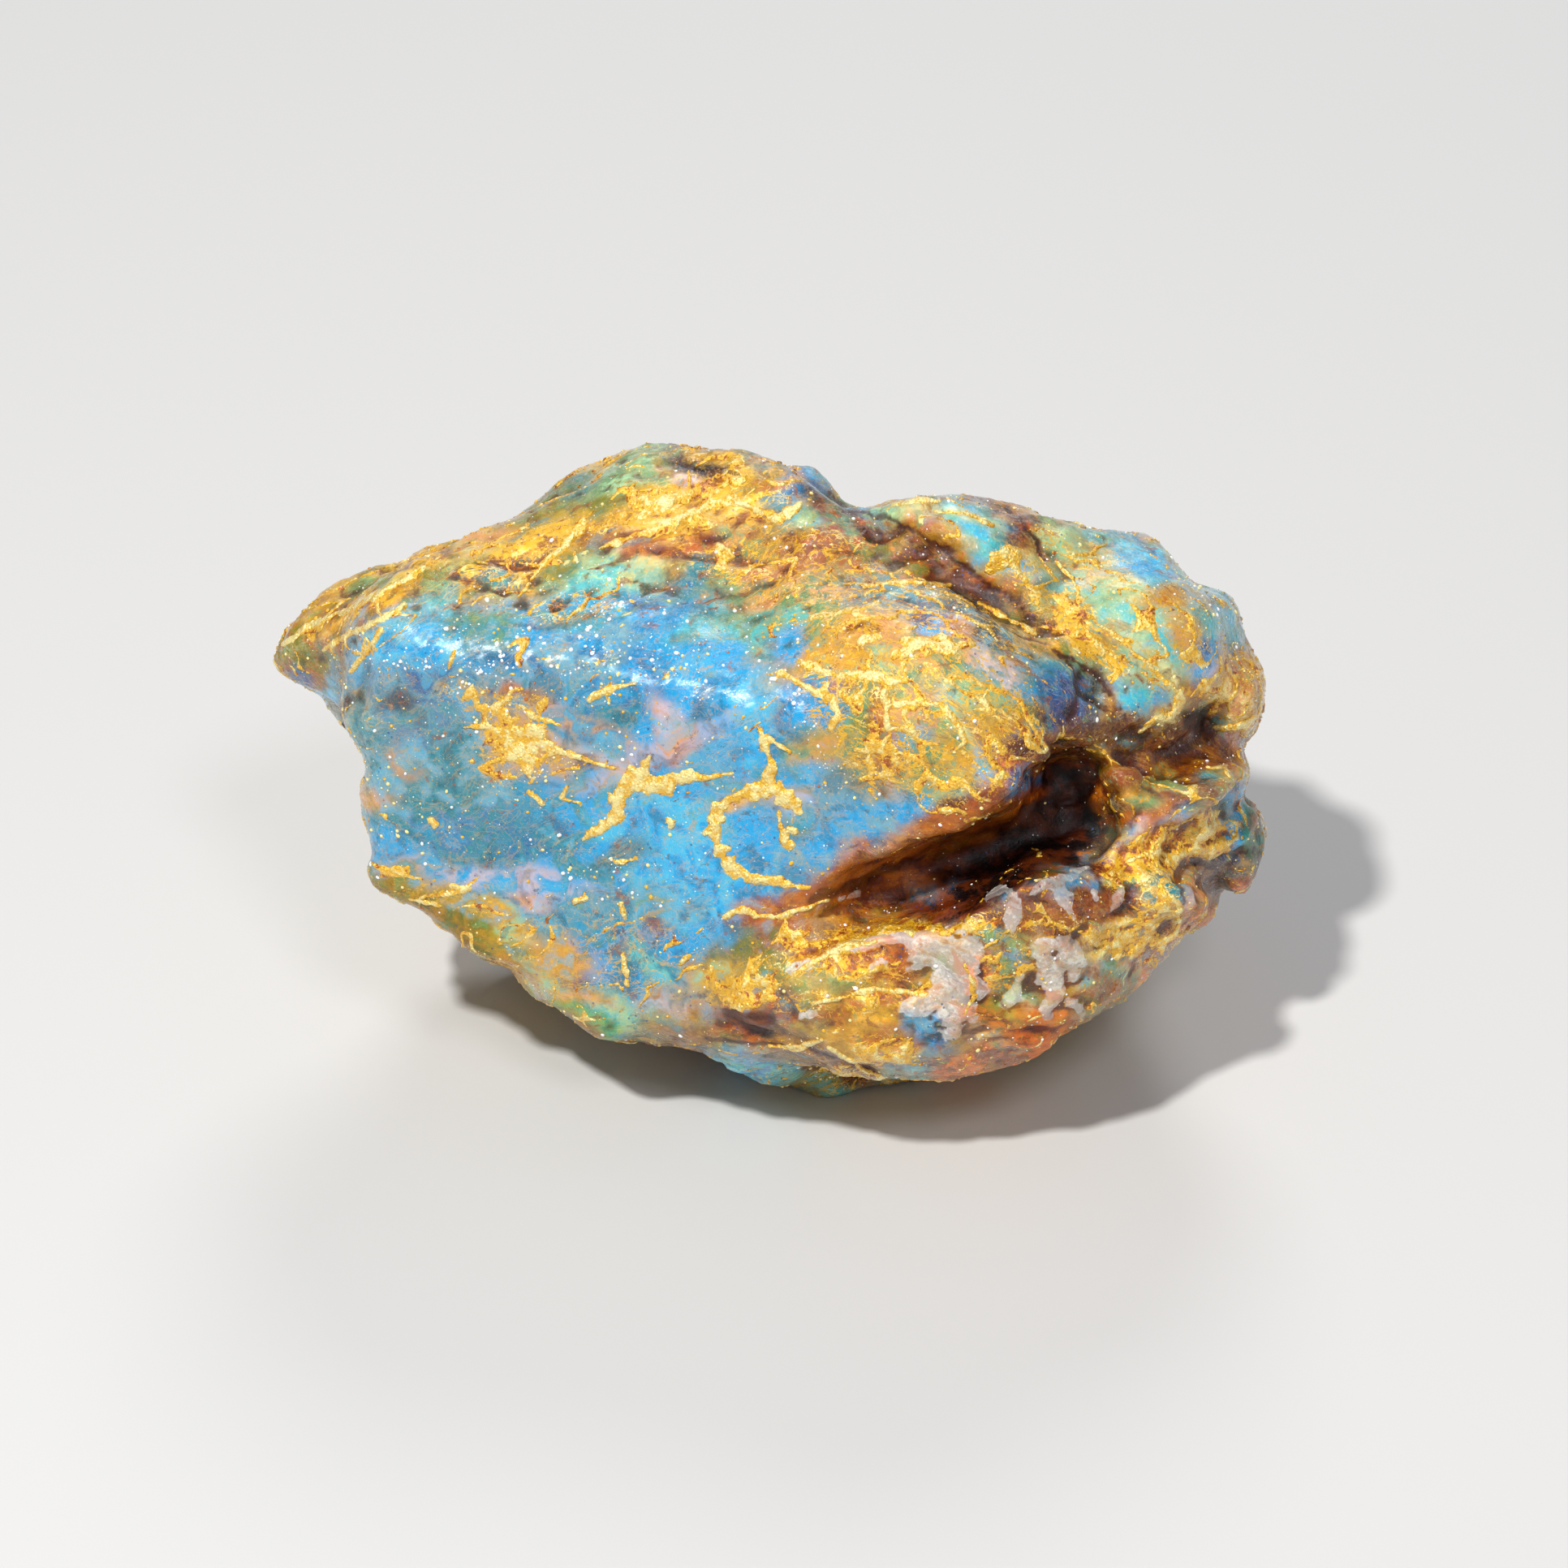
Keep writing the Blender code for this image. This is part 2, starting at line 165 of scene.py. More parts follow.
# The two colours that are marbled together at each place, laid on one patch over the other:
# (across, down, half length, half width, angle, strength, colour, other colour)
GROUND = [
    # the top slope
    (640, 690, 330, 110, 24, 1.0, "olive", "honey"), (430, 775, 120, 70, 32, 1.0, "olive", "bronze"), (410, 785, 90, 44, 32, 0.9, "olive", "bronze"),
    (455, 714, 60, 16, 20, 0.9, "olive", "sage"), (400, 735, 46, 12, 38, 0.8, "gold", "honey"),
    (450, 748, 60, 12, 28, 0.9, "amber", "gold"), (430, 785, 60, 16, 34, 0.9, "olive", "bronze"),
    (520, 690, 60, 12, 14, 0.8, "bronze", "gold"), (690, 612, 120, 26, 27, 1.0, "olive", "sage"),
    (745, 622, 60, 30, 20, 1.0, "sage", "olive"), (720, 597, 60, 14, 30, 0.9, "sage", "teal"), (690, 628, 110, 16, 27, 0.9, "sage", "olive"),
    (640, 680, 80, 42, 28, 0.95, "bronze", "gold"), (580, 690, 60, 10, 30, 0.9, "olive", "sage"), (640, 645, 50, 13, 30, 0.9, "rust", "olive"),
    (600, 668, 40, 14, 24, 0.8, "cream", "peach"), (615, 715, 28, 14, 0, 1.0, "teal", "mint"),
    (600, 740, 40, 16, 20, 0.8, "honey", "sage"), (545, 742, 28, 24, -30, 0.9, "olive", "sage"),
    (690, 715, 40, 22, 40, 0.9, "sage", "olive"), (835, 660, 110, 30, 14, 1.0, "amber", "rust"),
    (800, 690, 46, 16, 10, 0.9, "brown", "amber"), (850, 622, 110, 30, 14, 1.0, "gold", "honey"),
    (900, 608, 60, 16, 4, 1.0, "gold", "gold"), (820, 630, 50, 12, 22, 0.9, "cream", "gold"),
    (925, 640, 40, 16, 0, 0.8, "gold", "cream"), (797, 699, 26, 7, 10, 1.0, "cream", "cream"),
    (905, 655, 22, 14, 0, 0.8, "peach", "sage"), (965, 617, 26, 13, -30, 0.9, "slate", "teal"),
    (960, 665, 50, 22, -12, 0.8, "honey", "olive"), (940, 715, 80, 40, -12, 0.85, "sage", "honey"),
    (1000, 700, 70, 50, -34, 0.85, "honey", "rust"), (945, 705, 40, 10, -14, 0.8, "peach", "rust"),
    (1010, 735, 40, 14, -10, 0.8, "honey", "peach"), (965, 728, 26, 14, 0, 0.8, "teal", "sage"),
    (830, 735, 50, 22, 0, 0.9, "olive", "sage"), (826, 722, 16, 8, 10, 0.9, "brown", "rust"),
    (780, 715, 40, 16, 10, 0.7, "mint", "honey"),
    # the crest
    (785, 575, 56, 26, 22, 1.0, "sage", "mint"), (745, 562, 36, 8, 36, 0.8, "honey", "gold"),
    (800, 585, 26, 12, -20, 0.9, "mint", "sage"), (815, 573, 7, 12, 20, 0.8, "honey", "peach"),
    (870, 572, 50, 22, -22, 1.0, "brown", "dark"), (885, 566, 34, 8, -24, 1.0, "gold", "honey"),
    (920, 578, 34, 7, -14, 0.9, "gold", "olive"), (848, 598, 15, 8, -10, 1.0, "peach", "lilac"),
    (985, 594, 30, 17, -24, 1.0, "azure", "deep azure"), (974, 588, 11, 5, 10, 1.0, "peach", "peach"),
    (1004, 618, 28, 10, -52, 1.0, "dark", "brown"), (945, 590, 24, 8, -12, 0.8, "bronze", "amber"),
    # the ridge and the blue face
    (740, 1000, 330, 190, -8, 1.0, "azure", "teal"), (660, 790, 220, 62, 4, 1.0, "azure", "slate"),
    (530, 960, 120, 120, 0, 1.0, "teal", "slate"), (500, 800, 70, 44, 10, 0.95, "azure", "pale azure"),
    (600, 775, 46, 30, 0, 0.95, "sage", "teal"), (520, 752, 50, 12, 18, 0.9, "turquoise", "slate"),
    (720, 752, 46, 22, 10, 0.9, "azure", "pale azure"), (740, 715, 46, 22, 16, 0.95, "turquoise", "mint"),
    (650, 775, 20, 16, 0, 0.8, "azure", "azure"), (690, 760, 46, 12, -6, 0.8, "olive", "teal"),
    (700, 812, 110, 18, -4, 0.9, "deep azure", "slate"), (560, 850, 100, 30, -4, 0.8, "slate", "indigo"),
    (640, 850, 90, 22, 0, 0.7, "slate", "teal"), (790, 755, 26, 26, 0, 0.9, "deep azure", "azure"),
    (850, 720, 17, 42, -14, 1.0, "teal", "deep azure"), (836, 763, 16, 12, 30, 0.9, "indigo", "dark teal"),
    (880, 800, 90, 44, -8, 1.0, "azure", "azure"), (860, 775, 36, 14, 20, 0.7, "sage", "turquoise"),
    (850, 880, 100, 70, 0, 1.0, "azure", "azure"), (790, 850, 34, 46, -30, 0.8, "azure", "deep azure"),
    (735, 890, 46, 26, 10, 0.9, "teal", "deep azure"), (872, 862, 15, 36, -24, 0.85, "smoke", "indigo"),
    (850, 895, 9, 26, -30, 0.5, "smoke", "olive"), (930, 880, 60, 60, 0, 0.9, "azure", "pale azure"),
    (820, 888, 17, 34, 20, 0.95, "peach", "lilac"), (840, 918, 19, 17, 0, 1.0, "amber", "peach"),
    (800, 935, 90, 13, 22, 0.7, "lilac", "peach"), (690, 880, 80, 12, -28, 0.75, "peach", "slate"),
    (650, 925, 60, 34, -20, 0.85, "honey", "peach"), (735, 935, 60, 10, -26, 0.8, "honey", "lilac"),
    (600, 860, 60, 14, -10, 0.7, "honey", "slate"), (632, 855, 20, 9, 0, 0.9, "amber", "rust"),
    (492, 868, 22, 9, 20, 0.8, "brown", "smoke"), (520, 900, 60, 24, 0, 0.5, "slate", "indigo"),
    (490, 930, 16, 26, 0, 0.7, "peach", "slate"), (464, 982, 34, 11, -12, 0.85, "honey", "peach"),
    (505, 950, 20, 10, 0, 0.6, "peach", "teal"), (580, 1030, 110, 44, 0, 0.8, "teal", "deep azure"),
    (480, 1050, 46, 36, 0, 0.9, "azure", "slate"), (660, 1045, 46, 20, 10, 0.8, "deep azure", "teal"),
    (620, 1082, 110, 16, -8, 0.9, "lilac", "azure"), (520, 1085, 60, 12, -14, 0.8, "slate", "lilac"),
    (820, 1020, 90, 60, 0, 0.9, "azure", "pale azure"), (880, 1090, 100, 60, 10, 0.9, "azure", "pale azure"),
    (920, 1170, 60, 46, 40, 0.9, "azure", "pale azure"), (760, 1055, 36, 16, 20, 0.7, "olive", "smoke"),
    (770, 1120, 80, 26, 10, 0.7, "teal", "slate"), (850, 1115, 24, 12, 0, 0.7, "smoke", "slate"),
    (803, 1135, 7, 30, 0, 0.8, "rust", "smoke"), (790, 1160, 34, 10, 30, 0.7, "peach", "smoke"),
    (800, 1190, 60, 34, 0, 0.8, "teal", "turquoise"), (830, 1165, 34, 20, -20, 0.9, "azure", "deep azure"),
    (740, 1195, 28, 24, 0, 0.9, "azure", "azure"), (565, 1128, 120, 32, -30, 1.0, "honey", "olive"), (520, 1100, 50, 14, -20, 0.9, "olive", "honey"),
    (630, 1145, 60, 20, -30, 0.9, "mint", "honey"), (655, 1112, 26, 8, -10, 0.9, "peach", "lilac"),
    (640, 1170, 30, 12, -30, 0.9, "mint", "olive"), (690, 1180, 46, 26, -14, 1.0, "peach", "honey"),
    (680, 1215, 70, 22, -28, 0.9, "honey", "mint"), (627, 1190, 12, 26, 36, 0.9, "gold", "peach"),
    (770, 1245, 80, 26, -14, 0.95, "turquoise", "mint"), (720, 1228, 40, 12, -14, 0.9, "honey", "peach"),
    (790, 1215, 22, 22, 0, 0.8, "azure", "teal"), (830, 1240, 34, 20, 0, 0.9, "lilac", "bronze"),
    (875, 1215, 60, 20, 10, 0.9, "slate", "peach"), (860, 1275, 60, 13, -2, 0.9, "brown", "bronze"),
    (700, 1262, 130, 10, -24, 0.8, "honey", "bronze"), (535, 1152, 120, 10, -38, 0.9, "amber", "honey"), (372, 846, 16, 22, 20, 1.0, "deep azure", "indigo"),
    (402, 856, 22, 18, 20, 1.0, "azure", "pale azure"), (425, 872, 26, 8, 30, 0.9, "brown", "dark"),
    (985, 880, 24, 15, 20, 0.95, "indigo", "deep azure"), (1010, 960, 34, 40, 0, 0.8, "slate", "azure"),
    (1015, 995, 22, 50, -34, 0.75, "slate", "deep azure"), (932, 1035, 34, 30, 0, 1.0, "azure", "azure"),
    (960, 990, 40, 14, -30, 0.8, "honey", "lilac"), (915, 990, 30, 10, 10, 0.9, "gold", "peach"),
    (1010, 1050, 60, 26, 20, 0.95, "azure", "slate"), (985, 1015, 16, 14, 0, 0.8, "olive", "teal"),
    (1100, 1000, 110, 30, 22, 1.0, "azure", "slate"), (1010, 920, 44, 18, 10, 0.8, "sage", "honey"),
    # the dome
    (1120, 850, 170, 110, -18, 1.0, "sage", "honey"), (1060, 770, 130, 60, -8, 1.0, "sage", "peach"),
    (940, 775, 60, 24, -6, 0.9, "turquoise", "sage"), (1070, 775, 60, 26, 14, 0.95, "peach", "honey"),
    (1130, 738, 90, 22, -8, 1.0, "slate", "teal"), (1148, 765, 30, 24, 0, 1.0, "indigo", "azure"),
    (1180, 728, 22, 10, -20, 0.9, "deep azure", "teal"), (1215, 775, 56, 22, -34, 1.0, "smoke", "slate"),
    (1178, 772, 26, 12, -40, 0.9, "peach", "lilac"), (1060, 812, 80, 16, -6, 0.8, "mint", "honey"),
    (974, 797, 17, 14, 0, 1.0, "azure", "azure"), (1045, 848, 24, 14, 0, 1.0, "rust", "amber"),
    (1062, 876, 26, 38, 0, 1.0, "sage", "olive"), (995, 865, 40, 30, 0, 1.0, "azure", "deep azure"),
    (1020, 905, 30, 10, 6, 0.8, "honey", "peach"), (1090, 905, 20, 50, 0, 0.9, "amber", "rust"),
    (1140, 880, 40, 40, 0, 0.9, "peach", "sage"), (1180, 885, 46, 16, -44, 0.9, "turquoise", "mint"),
    (1215, 855, 40, 30, 0, 0.9, "mint", "sage"), (1120, 915, 26, 16, 0, 0.9, "azure", "slate"),
    (1150, 945, 50, 30, 0, 0.8, "sage", "honey"), (1235, 900, 34, 44, 50, 0.9, "honey", "rust"),
    (1190, 955, 40, 30, 30, 0.8, "mint", "honey"), (1262, 925, 22, 36, -20, 0.95, "azure", "slate"),
    (1215, 955, 12, 30, 10, 0.9, "lilac", "pale azure"), (1240, 830, 40, 18, -20, 0.8, "slate", "lilac"),
    # the long groove, laid brown and dark in part as painted shade; the lens above it and what is behind it
    (1110, 690, 100, 26, -14, 0.95, "olive", "amber"), (1040, 650, 40, 18, -30, 0.9, "sage", "rust"),
    (1065, 645, 40, 9, -24, 1.0, "brown", "rust"), (1155, 668, 70, 12, -34, 1.0, "brown", "dark"),
    (1225, 725, 60, 11, -36, 1.0, "brown", "rust"), (1210, 720, 70, 18, -34, 0.9, "brown", "rust"),
    (1120, 622, 50, 10, 2, 1.0, "honey", "mint"), (1205, 670, 92, 36, -36, 1.0, "honey", "amber"),
    (1212, 662, 76, 26, -38, 1.0, "turquoise", "pale azure"), (1190, 640, 50, 8, -16, 0.8, "mint", "cream"),
    (1262, 712, 16, 10, 0, 0.9, "mint", "peach"), (1262, 655, 46, 20, -52, 1.0, "brown", "rust"),
    (1290, 724, 22, 12, 20, 1.0, "rust", "brown"), (1290, 665, 24, 12, 30, 0.9, "cream", "honey"),
    # the crown
    (1385, 760, 110, 66, -42, 1.0, "mint", "turquoise"), (1350, 690, 70, 30, -20, 0.95, "mint", "honey"),
    (1320, 645, 60, 12, -16, 0.9, "sage", "honey"), (1385, 670, 60, 14, -16, 0.9, "slate", "turquoise"),
    (1412, 702, 40, 22, -18, 1.0, "azure", "pale azure"), (1385, 725, 40, 16, -20, 0.8, "mint", "cream"),
    (1440, 738, 28, 16, 8, 1.0, "amber", "honey"), (1455, 780, 34, 20, -40, 0.95, "peach", "honey"),
    (1505, 765, 26, 54, 30, 1.0, "turquoise", "pale azure"), (1480, 740, 22, 14, -40, 0.8, "honey", "slate"),
    (1490, 822, 30, 26, 0, 1.0, "lilac", "azure"), (1500, 800, 26, 12, -20, 0.9, "azure", "indigo"),
    (1425, 825, 60, 14, -48, 0.9, "mint", "cream"), (1345, 785, 90, 26, -33, 0.9, "honey", "sage"),
    (1292, 838, 30, 24, -20, 1.0, "azure", "teal"), (1405, 865, 40, 26, -26, 1.0, "azure", "turquoise"),
    (1320, 865, 26, 50, 24, 1.0, "indigo", "deep azure"), (1352, 850, 16, 30, 20, 0.9, "smoke", "slate"),
    (1300, 880, 20, 26, 0, 0.9, "dark", "indigo"), (1370, 875, 12, 30, 10, 0.9, "rust", "honey"),
    (1535, 850, 26, 50, 6, 1.0, "amber", "honey"), (1520, 858, 22, 20, 0, 0.95, "peach", "cream"),
    (1470, 850, 26, 16, 30, 0.9, "gold", "rust"), (1430, 890, 30, 12, 30, 0.9, "honey", "cream"),
    (1478, 890, 18, 24, 0, 1.0, "dark", "dark"),
    # the rough right side
    (1430, 940, 130, 52, -6, 1.0, "rust", "brown"), (1340, 930, 60, 40, 20, 0.9, "brown", "rust"), (1380, 920, 50, 30, -20, 0.8, "brown", "dark"),
    (1470, 930, 50, 20, 0, 0.8, "brown", "bronze"), (1400, 990, 70, 26, -16, 0.95, "amber", "brown"),
    (1420, 945, 100, 40, -6, 0.6, "rust", "bronze"), (1487, 957, 17, 12, 20, 1.0, "sage", "teal"), (1465, 962, 18, 9, 0, 0.8, "amber", "bronze"),
    (1352, 935, 15, 17, 0, 0.9, "olive", "honey"), (1428, 958, 17, 13, 0, 0.9, "honey", "sage"),
    (1410, 985, 26, 12, -20, 0.9, "sage", "honey"), (1445, 1022, 14, 12, 0, 0.7, "slate", "lilac"),
    (1420, 1055, 80, 34, 14, 1.0, "amber", "gold"), (1485, 1035, 40, 30, 50, 1.0, "honey", "gold"),
    (1455, 1062, 26, 18, 0, 0.9, "slate", "honey"), (1522, 960, 14, 20, 0, 0.9, "honey", "sage"),
    (1526, 1022, 26, 54, -8, 1.0, "deep azure", "azure"), (1546, 1005, 7, 26, 0, 0.8, "peach", "rust"),
    (1530, 1062, 22, 16, 0, 0.8, "indigo", "smoke"),
    (1515, 1086, 30, 20, 10, 1.0, "brown", "smoke"), (1528, 1094, 12, 8, 40, 0.9, "rust", "orange"), (1474, 1118, 40, 30, 50, 1.0, "peach", "rust"), (1470, 1108, 20, 14, 50, 0.8, "lilac", "peach"),
    (1462, 1140, 30, 12, 40, 0.8, "rust", "orange"), (1425, 1110, 34, 30, 0, 1.0, "teal", "honey"),
    (1422, 1140, 36, 26, 0, 0.9, "honey", "bronze"), (1390, 1090, 34, 22, 40, 0.95, "olive", "sage"),
    (1350, 1130, 60, 26, 10, 1.0, "rust", "bronze"),
    # the lower lobe
    (1140, 1235, 280, 110, 6, 1.0, "honey", "bronze"), (1150, 1230, 200, 60, 6, 0.45, "olive", "amber"), (935, 1175, 70, 40, 36, 0.95, "olive", "bronze"),
    (890, 1205, 40, 12, 20, 0.9, "honey", "mint"), (940, 1215, 60, 20, 14, 0.9, "gold", "bronze"),
    (1015, 1212, 80, 20, -8, 0.9, "sage", "olive"), (1110, 1205, 34, 18, -20, 0.9, "sage", "olive"), (1090, 1195, 50, 12, 10, 0.8, "sage", "olive"),
    (1060, 1226, 90, 13, 9, 0.95, "honey", "amber"), (1100, 1172, 44, 20, 34, 1.0, "amber", "rust"), (1055, 1190, 60, 14, -14, 1.0, "gold", "amber"),
    (1010, 1180, 36, 14, 20, 0.9, "amber", "bronze"), (1130, 1210, 30, 16, 30, 0.8, "olive", "honey"),
    (990, 1205, 60, 22, -6, 0.6, "honey", "sage"), (1000, 1262, 24, 26, 0, 0.95, "sage", "olive"), (960, 1245, 26, 18, 0, 0.9, "slate", "teal"),
    (920, 1262, 50, 26, 8, 1.0, "brown", "rust"), (890, 1290, 18, 11, 0, 0.9, "olive", "honey"),
    (935, 1318, 60, 22, -10, 1.0, "azure", "turquoise"), (1010, 1335, 50, 16, 0, 0.9, "turquoise", "olive"),
    (1030, 1310, 60, 16, -24, 0.9, "bronze", "brown"), (1050, 1275, 60, 20, 0, 0.9, "honey", "honey"),
    (1090, 1290, 50, 18, -24, 0.9, "gold", "amber"), (1035, 1250, 50, 10, 4, 0.8, "bronze", "rust"), (1090, 1250, 60, 12, 8, 0.8, "honey", "gold"),
    (1130, 1315, 50, 16, 20, 0.9, "slate", "sage"), (1170, 1325, 60, 20, 10, 1.0, "rust", "orange"),
    (1142, 1266, 32, 20, -34, 1.0, "deep azure", "azure"), (1132, 1258, 18, 6, -30, 1.0, "pale azure", "slate"),
    (1245, 1188, 26, 22, 10, 0.9, "sage", "slate"), (1277, 1215, 9, 20, 0, 1.0, "bronze", "olive"),
    (1264, 1236, 8, 16, 0, 1.0, "teal", "dark teal"), (1118, 1318, 40, 14, -20, 0.9, "slate", "turquoise"),
    (1208, 1222, 16, 46, -6, 1.0, "rust", "orange"), (1085, 1176, 36, 18, -30, 0.9, "orange", "amber"), (1230, 1155, 34, 13, -6, 0.9, "sage", "teal"),
    (1240, 1245, 40, 26, 30, 0.95, "mint", "sage"), (1225, 1270, 30, 16, 20, 0.8, "lilac", "cream"),
    (1275, 1258, 36, 16, -24, 0.7, "peach", "lilac"), (1290, 1290, 90, 16, -24, 0.95, "rust", "orange"),
    (1318, 1277, 70, 20, -27, 1.0, "orange", "orange"), (1322, 1276, 30, 7, -27, 0.9, "gold", "orange"),
    (1255, 1312, 60, 14, -20, 1.0, "rust", "orange"), (1310, 1150, 12, 9, 20, 1.0, "dark", "brown"),
    (1340, 1122, 60, 24, 0, 1.0, "rust", "brown"), (1280, 1125, 40, 22, 0, 0.9, "amber", "rust"),
    (1370, 1198, 46, 26, -10, 1.0, "turquoise", "sage"), (1340, 1200, 26, 14, 0, 0.8, "peach", "slate"),
    (1380, 1230, 60, 20, 34, 0.9, "olive", "bronze"), (1412, 1214, 9, 34, 28, 1.0, "gold", "orange"),
    (1415, 1178, 18, 14, 0, 0.8, "lilac", "rust"), (1380, 1158, 50, 14, 24, 1.0, "gold", "cream"),
    (1165, 1190, 14, 18, 0, 0.7, "mint", "sage"), (1280, 1135, 40, 20, 0, 0.9, "bronze", "brown"),
    # the cavity: rust and amber on its walls; its depths laid brown and near black, partly its own brown and partly
    # painted shade
    (1120, 1062, 160, 44, 21, 1.0, "rust", "amber"), (1215, 1000, 90, 34, 24, 1.0, "rust", "brown"),
    (1285, 950, 34, 60, 30, 1.0, "brown", "rust"), (1050, 1108, 90, 30, 14, 1.0, "rust", "amber"),
    (960, 1125, 50, 17, 6, 0.95, "rust", "amber"), (1120, 1040, 110, 10, 22, 0.9, "amber", "rust"), (1130, 1085, 60, 10, 16, 0.9, "rust", "amber"),
    (1070, 1082, 90, 6, 18, 0.8, "amber", "honey"), (1170, 1112, 66, 20, 8, 0.9, "dark", "rust"),
    (1240, 1064, 96, 40, 26, 1.0, "dark", "brown"), (1310, 1000, 56, 60, 0, 1.0, "dark", "brown"),
    (1280, 1050, 90, 30, 20, 0.9, "dark", "brown"), (1021, 1127, 32, 11, 6, 1.0, "olive", "honey"),
    (1256, 960, 17, 17, 0, 1.0, "indigo", "azure"), (1262, 988, 32, 9, 20, 0.9, "rust", "orange"),
    (1246, 940, 8, 44, -14, 0.8, "rust", "orange"), (1300, 1075, 20, 10, 10, 0.8, "olive", "bronze"),
]

# Other marks by kind: (across, down, half length, half width, angle, strength)
MARKS = {
    "gold": [
        (640, 690, 80, 36, 28, 0.34), (470, 745, 130, 46, 28, 0.18), (850, 620, 110, 26, 14, 0.62),
        (1000, 700, 110, 60, -30, 0.34), (1120, 830, 150, 90, -20, 0.36), (1060, 850, 60, 60, 0, 0.42),
        (1345, 785, 90, 24, -33, 0.80), (1330, 700, 60, 30, -20, 0.3), (1520, 850, 40, 46, 0, 0.5),
        (1485, 1035, 40, 30, 50, 0.85), (1430, 960, 110, 50, 0, 0.10), (1420, 1055, 70, 26, 14, 0.85),
        (1025, 1178, 80, 22, -14, 0.66), (1130, 1145, 110, 12, 4, 0.9), (1230, 1140, 50, 16, 0, 0.8),
        (1085, 1292, 50, 20, -24, 0.7), (1372, 1164, 50, 14, -10, 0.9), (1060, 1230, 110, 14, 6, 0.45),
        (940, 1210, 60, 26, 20, 0.7), (1040, 1320, 60, 16, 20, 0.5), (1225, 1195, 24, 40, 20, 0.45),
        (1290, 1190, 60, 30, 0, 0.25), (1430, 1130, 46, 46, 0, 0.4), (560, 1110, 90, 16, -24, 0.35),
        (600, 870, 80, 20, -10, 0.42), (640, 925, 60, 34, -10, 0.6), (900, 680, 60, 30, 0, 0.5),
        (1190, 950, 80, 40, 20, 0.5), (1090, 930, 60, 40, 0, 0.55), (1240, 890, 50, 50, 0, 0.55),
        (690, 745, 60, 16, 0, 0.45), (1260, 700, 40, 30, -30, 0.6), (1450, 780, 60, 40, -40, 0.3),
        (890, 566, 40, 9, -22, 0.6), (720, 1180, 160, 60, 0, 0.2), (1170, 770, 110, 40, -20, 0.42),
        (1320, 1120, 60, 30, 0, 0.1), (1270, 1140, 50, 12, 0, 0.7), (740, 560, 40, 12, 36, 0.5),
    ],
    "calm": [
        (720, 1020, 290, 210, -8, 1.0), (930, 960, 120, 120, 0, 1.0), (600, 830, 160, 70, 0, 1.0),
        (850, 1170, 110, 90, 0, 1.0), (1100, 995, 110, 30, 22, 0.8), (850, 810, 110, 50, 0, 1.0),
        (1212, 662, 76, 26, -38, 0.8), (1390, 760, 110, 54, -42, 0.6), (1500, 780, 34, 60, 20, 0.7),
        (1405, 865, 34, 22, -26, 0.7),
    ],
    "even": [
        (1120, 840, 170, 110, -18, 0.62), (1385, 760, 120, 66, -42, 0.62), (700, 620, 130, 50, 27, 0.5),
        (1205, 668, 90, 36, -36, 0.7), (560, 1140, 140, 40, -36, 0.7), (740, 1240, 130, 40, -20, 0.7),
        (1240, 1055, 130, 46, 20, 0.5), (900, 760, 110, 50, 0, 0.5), (380, 840, 60, 60, 0, 0.5), (1150, 1220, 290, 110, 6, 0.35),
    ],
    "hole": [
        (1240, 1055, 140, 50, 20, 1.0), (1170, 1108, 90, 24, 10, 1.0), (1310, 1000, 60, 66, 0, 1.0),
        (1478, 890, 18, 24, 0, 1.0), (1120, 1062, 160, 44, 21, 0.6), (1215, 1000, 90, 34, 24, 0.6),
        (1285, 950, 34, 60, 30, 0.6), (1050, 1108, 90, 30, 14, 0.5), (920, 1262, 50, 26, 8, 0.6),
    ],
    "cobble": [
        (1150, 1220, 280, 100, 6, 1.0), (1450, 1050, 110, 120, 0, 1.0),
        (1100, 690, 110, 30, -14, 0.5), (800, 1285, 140, 30, -12, 0.6), (1400, 960, 100, 50, 0, 0.9),
    ],
    "rope": [
        (640, 680, 330, 90, 24, 1.0), (850, 640, 140, 60, 14, 1.0), (1000, 720, 150, 70, -20, 0.8),
        (1150, 760, 150, 60, -24, 0.8), (1330, 740, 130, 70, -34, 0.5), (1150, 1040, 200, 60, 20, 0.7),
        (1020, 1210, 120, 50, 8, 0.8), (1320, 870, 60, 60, 50, 0.9), (450, 760, 120, 60, 30, 0.8),
    ],
    "glow": [
        (560, 1150, 150, 26, -36, 1.0), (1310, 1288, 130, 26, -25, 1.0), (1540, 1030, 16, 90, 0, 0.7),
        (700, 1250, 120, 20, -24, 0.7), (455, 1080, 14, 50, 20, 0.7), (1500, 1120, 30, 40, 40, 0.6),
    ],
}

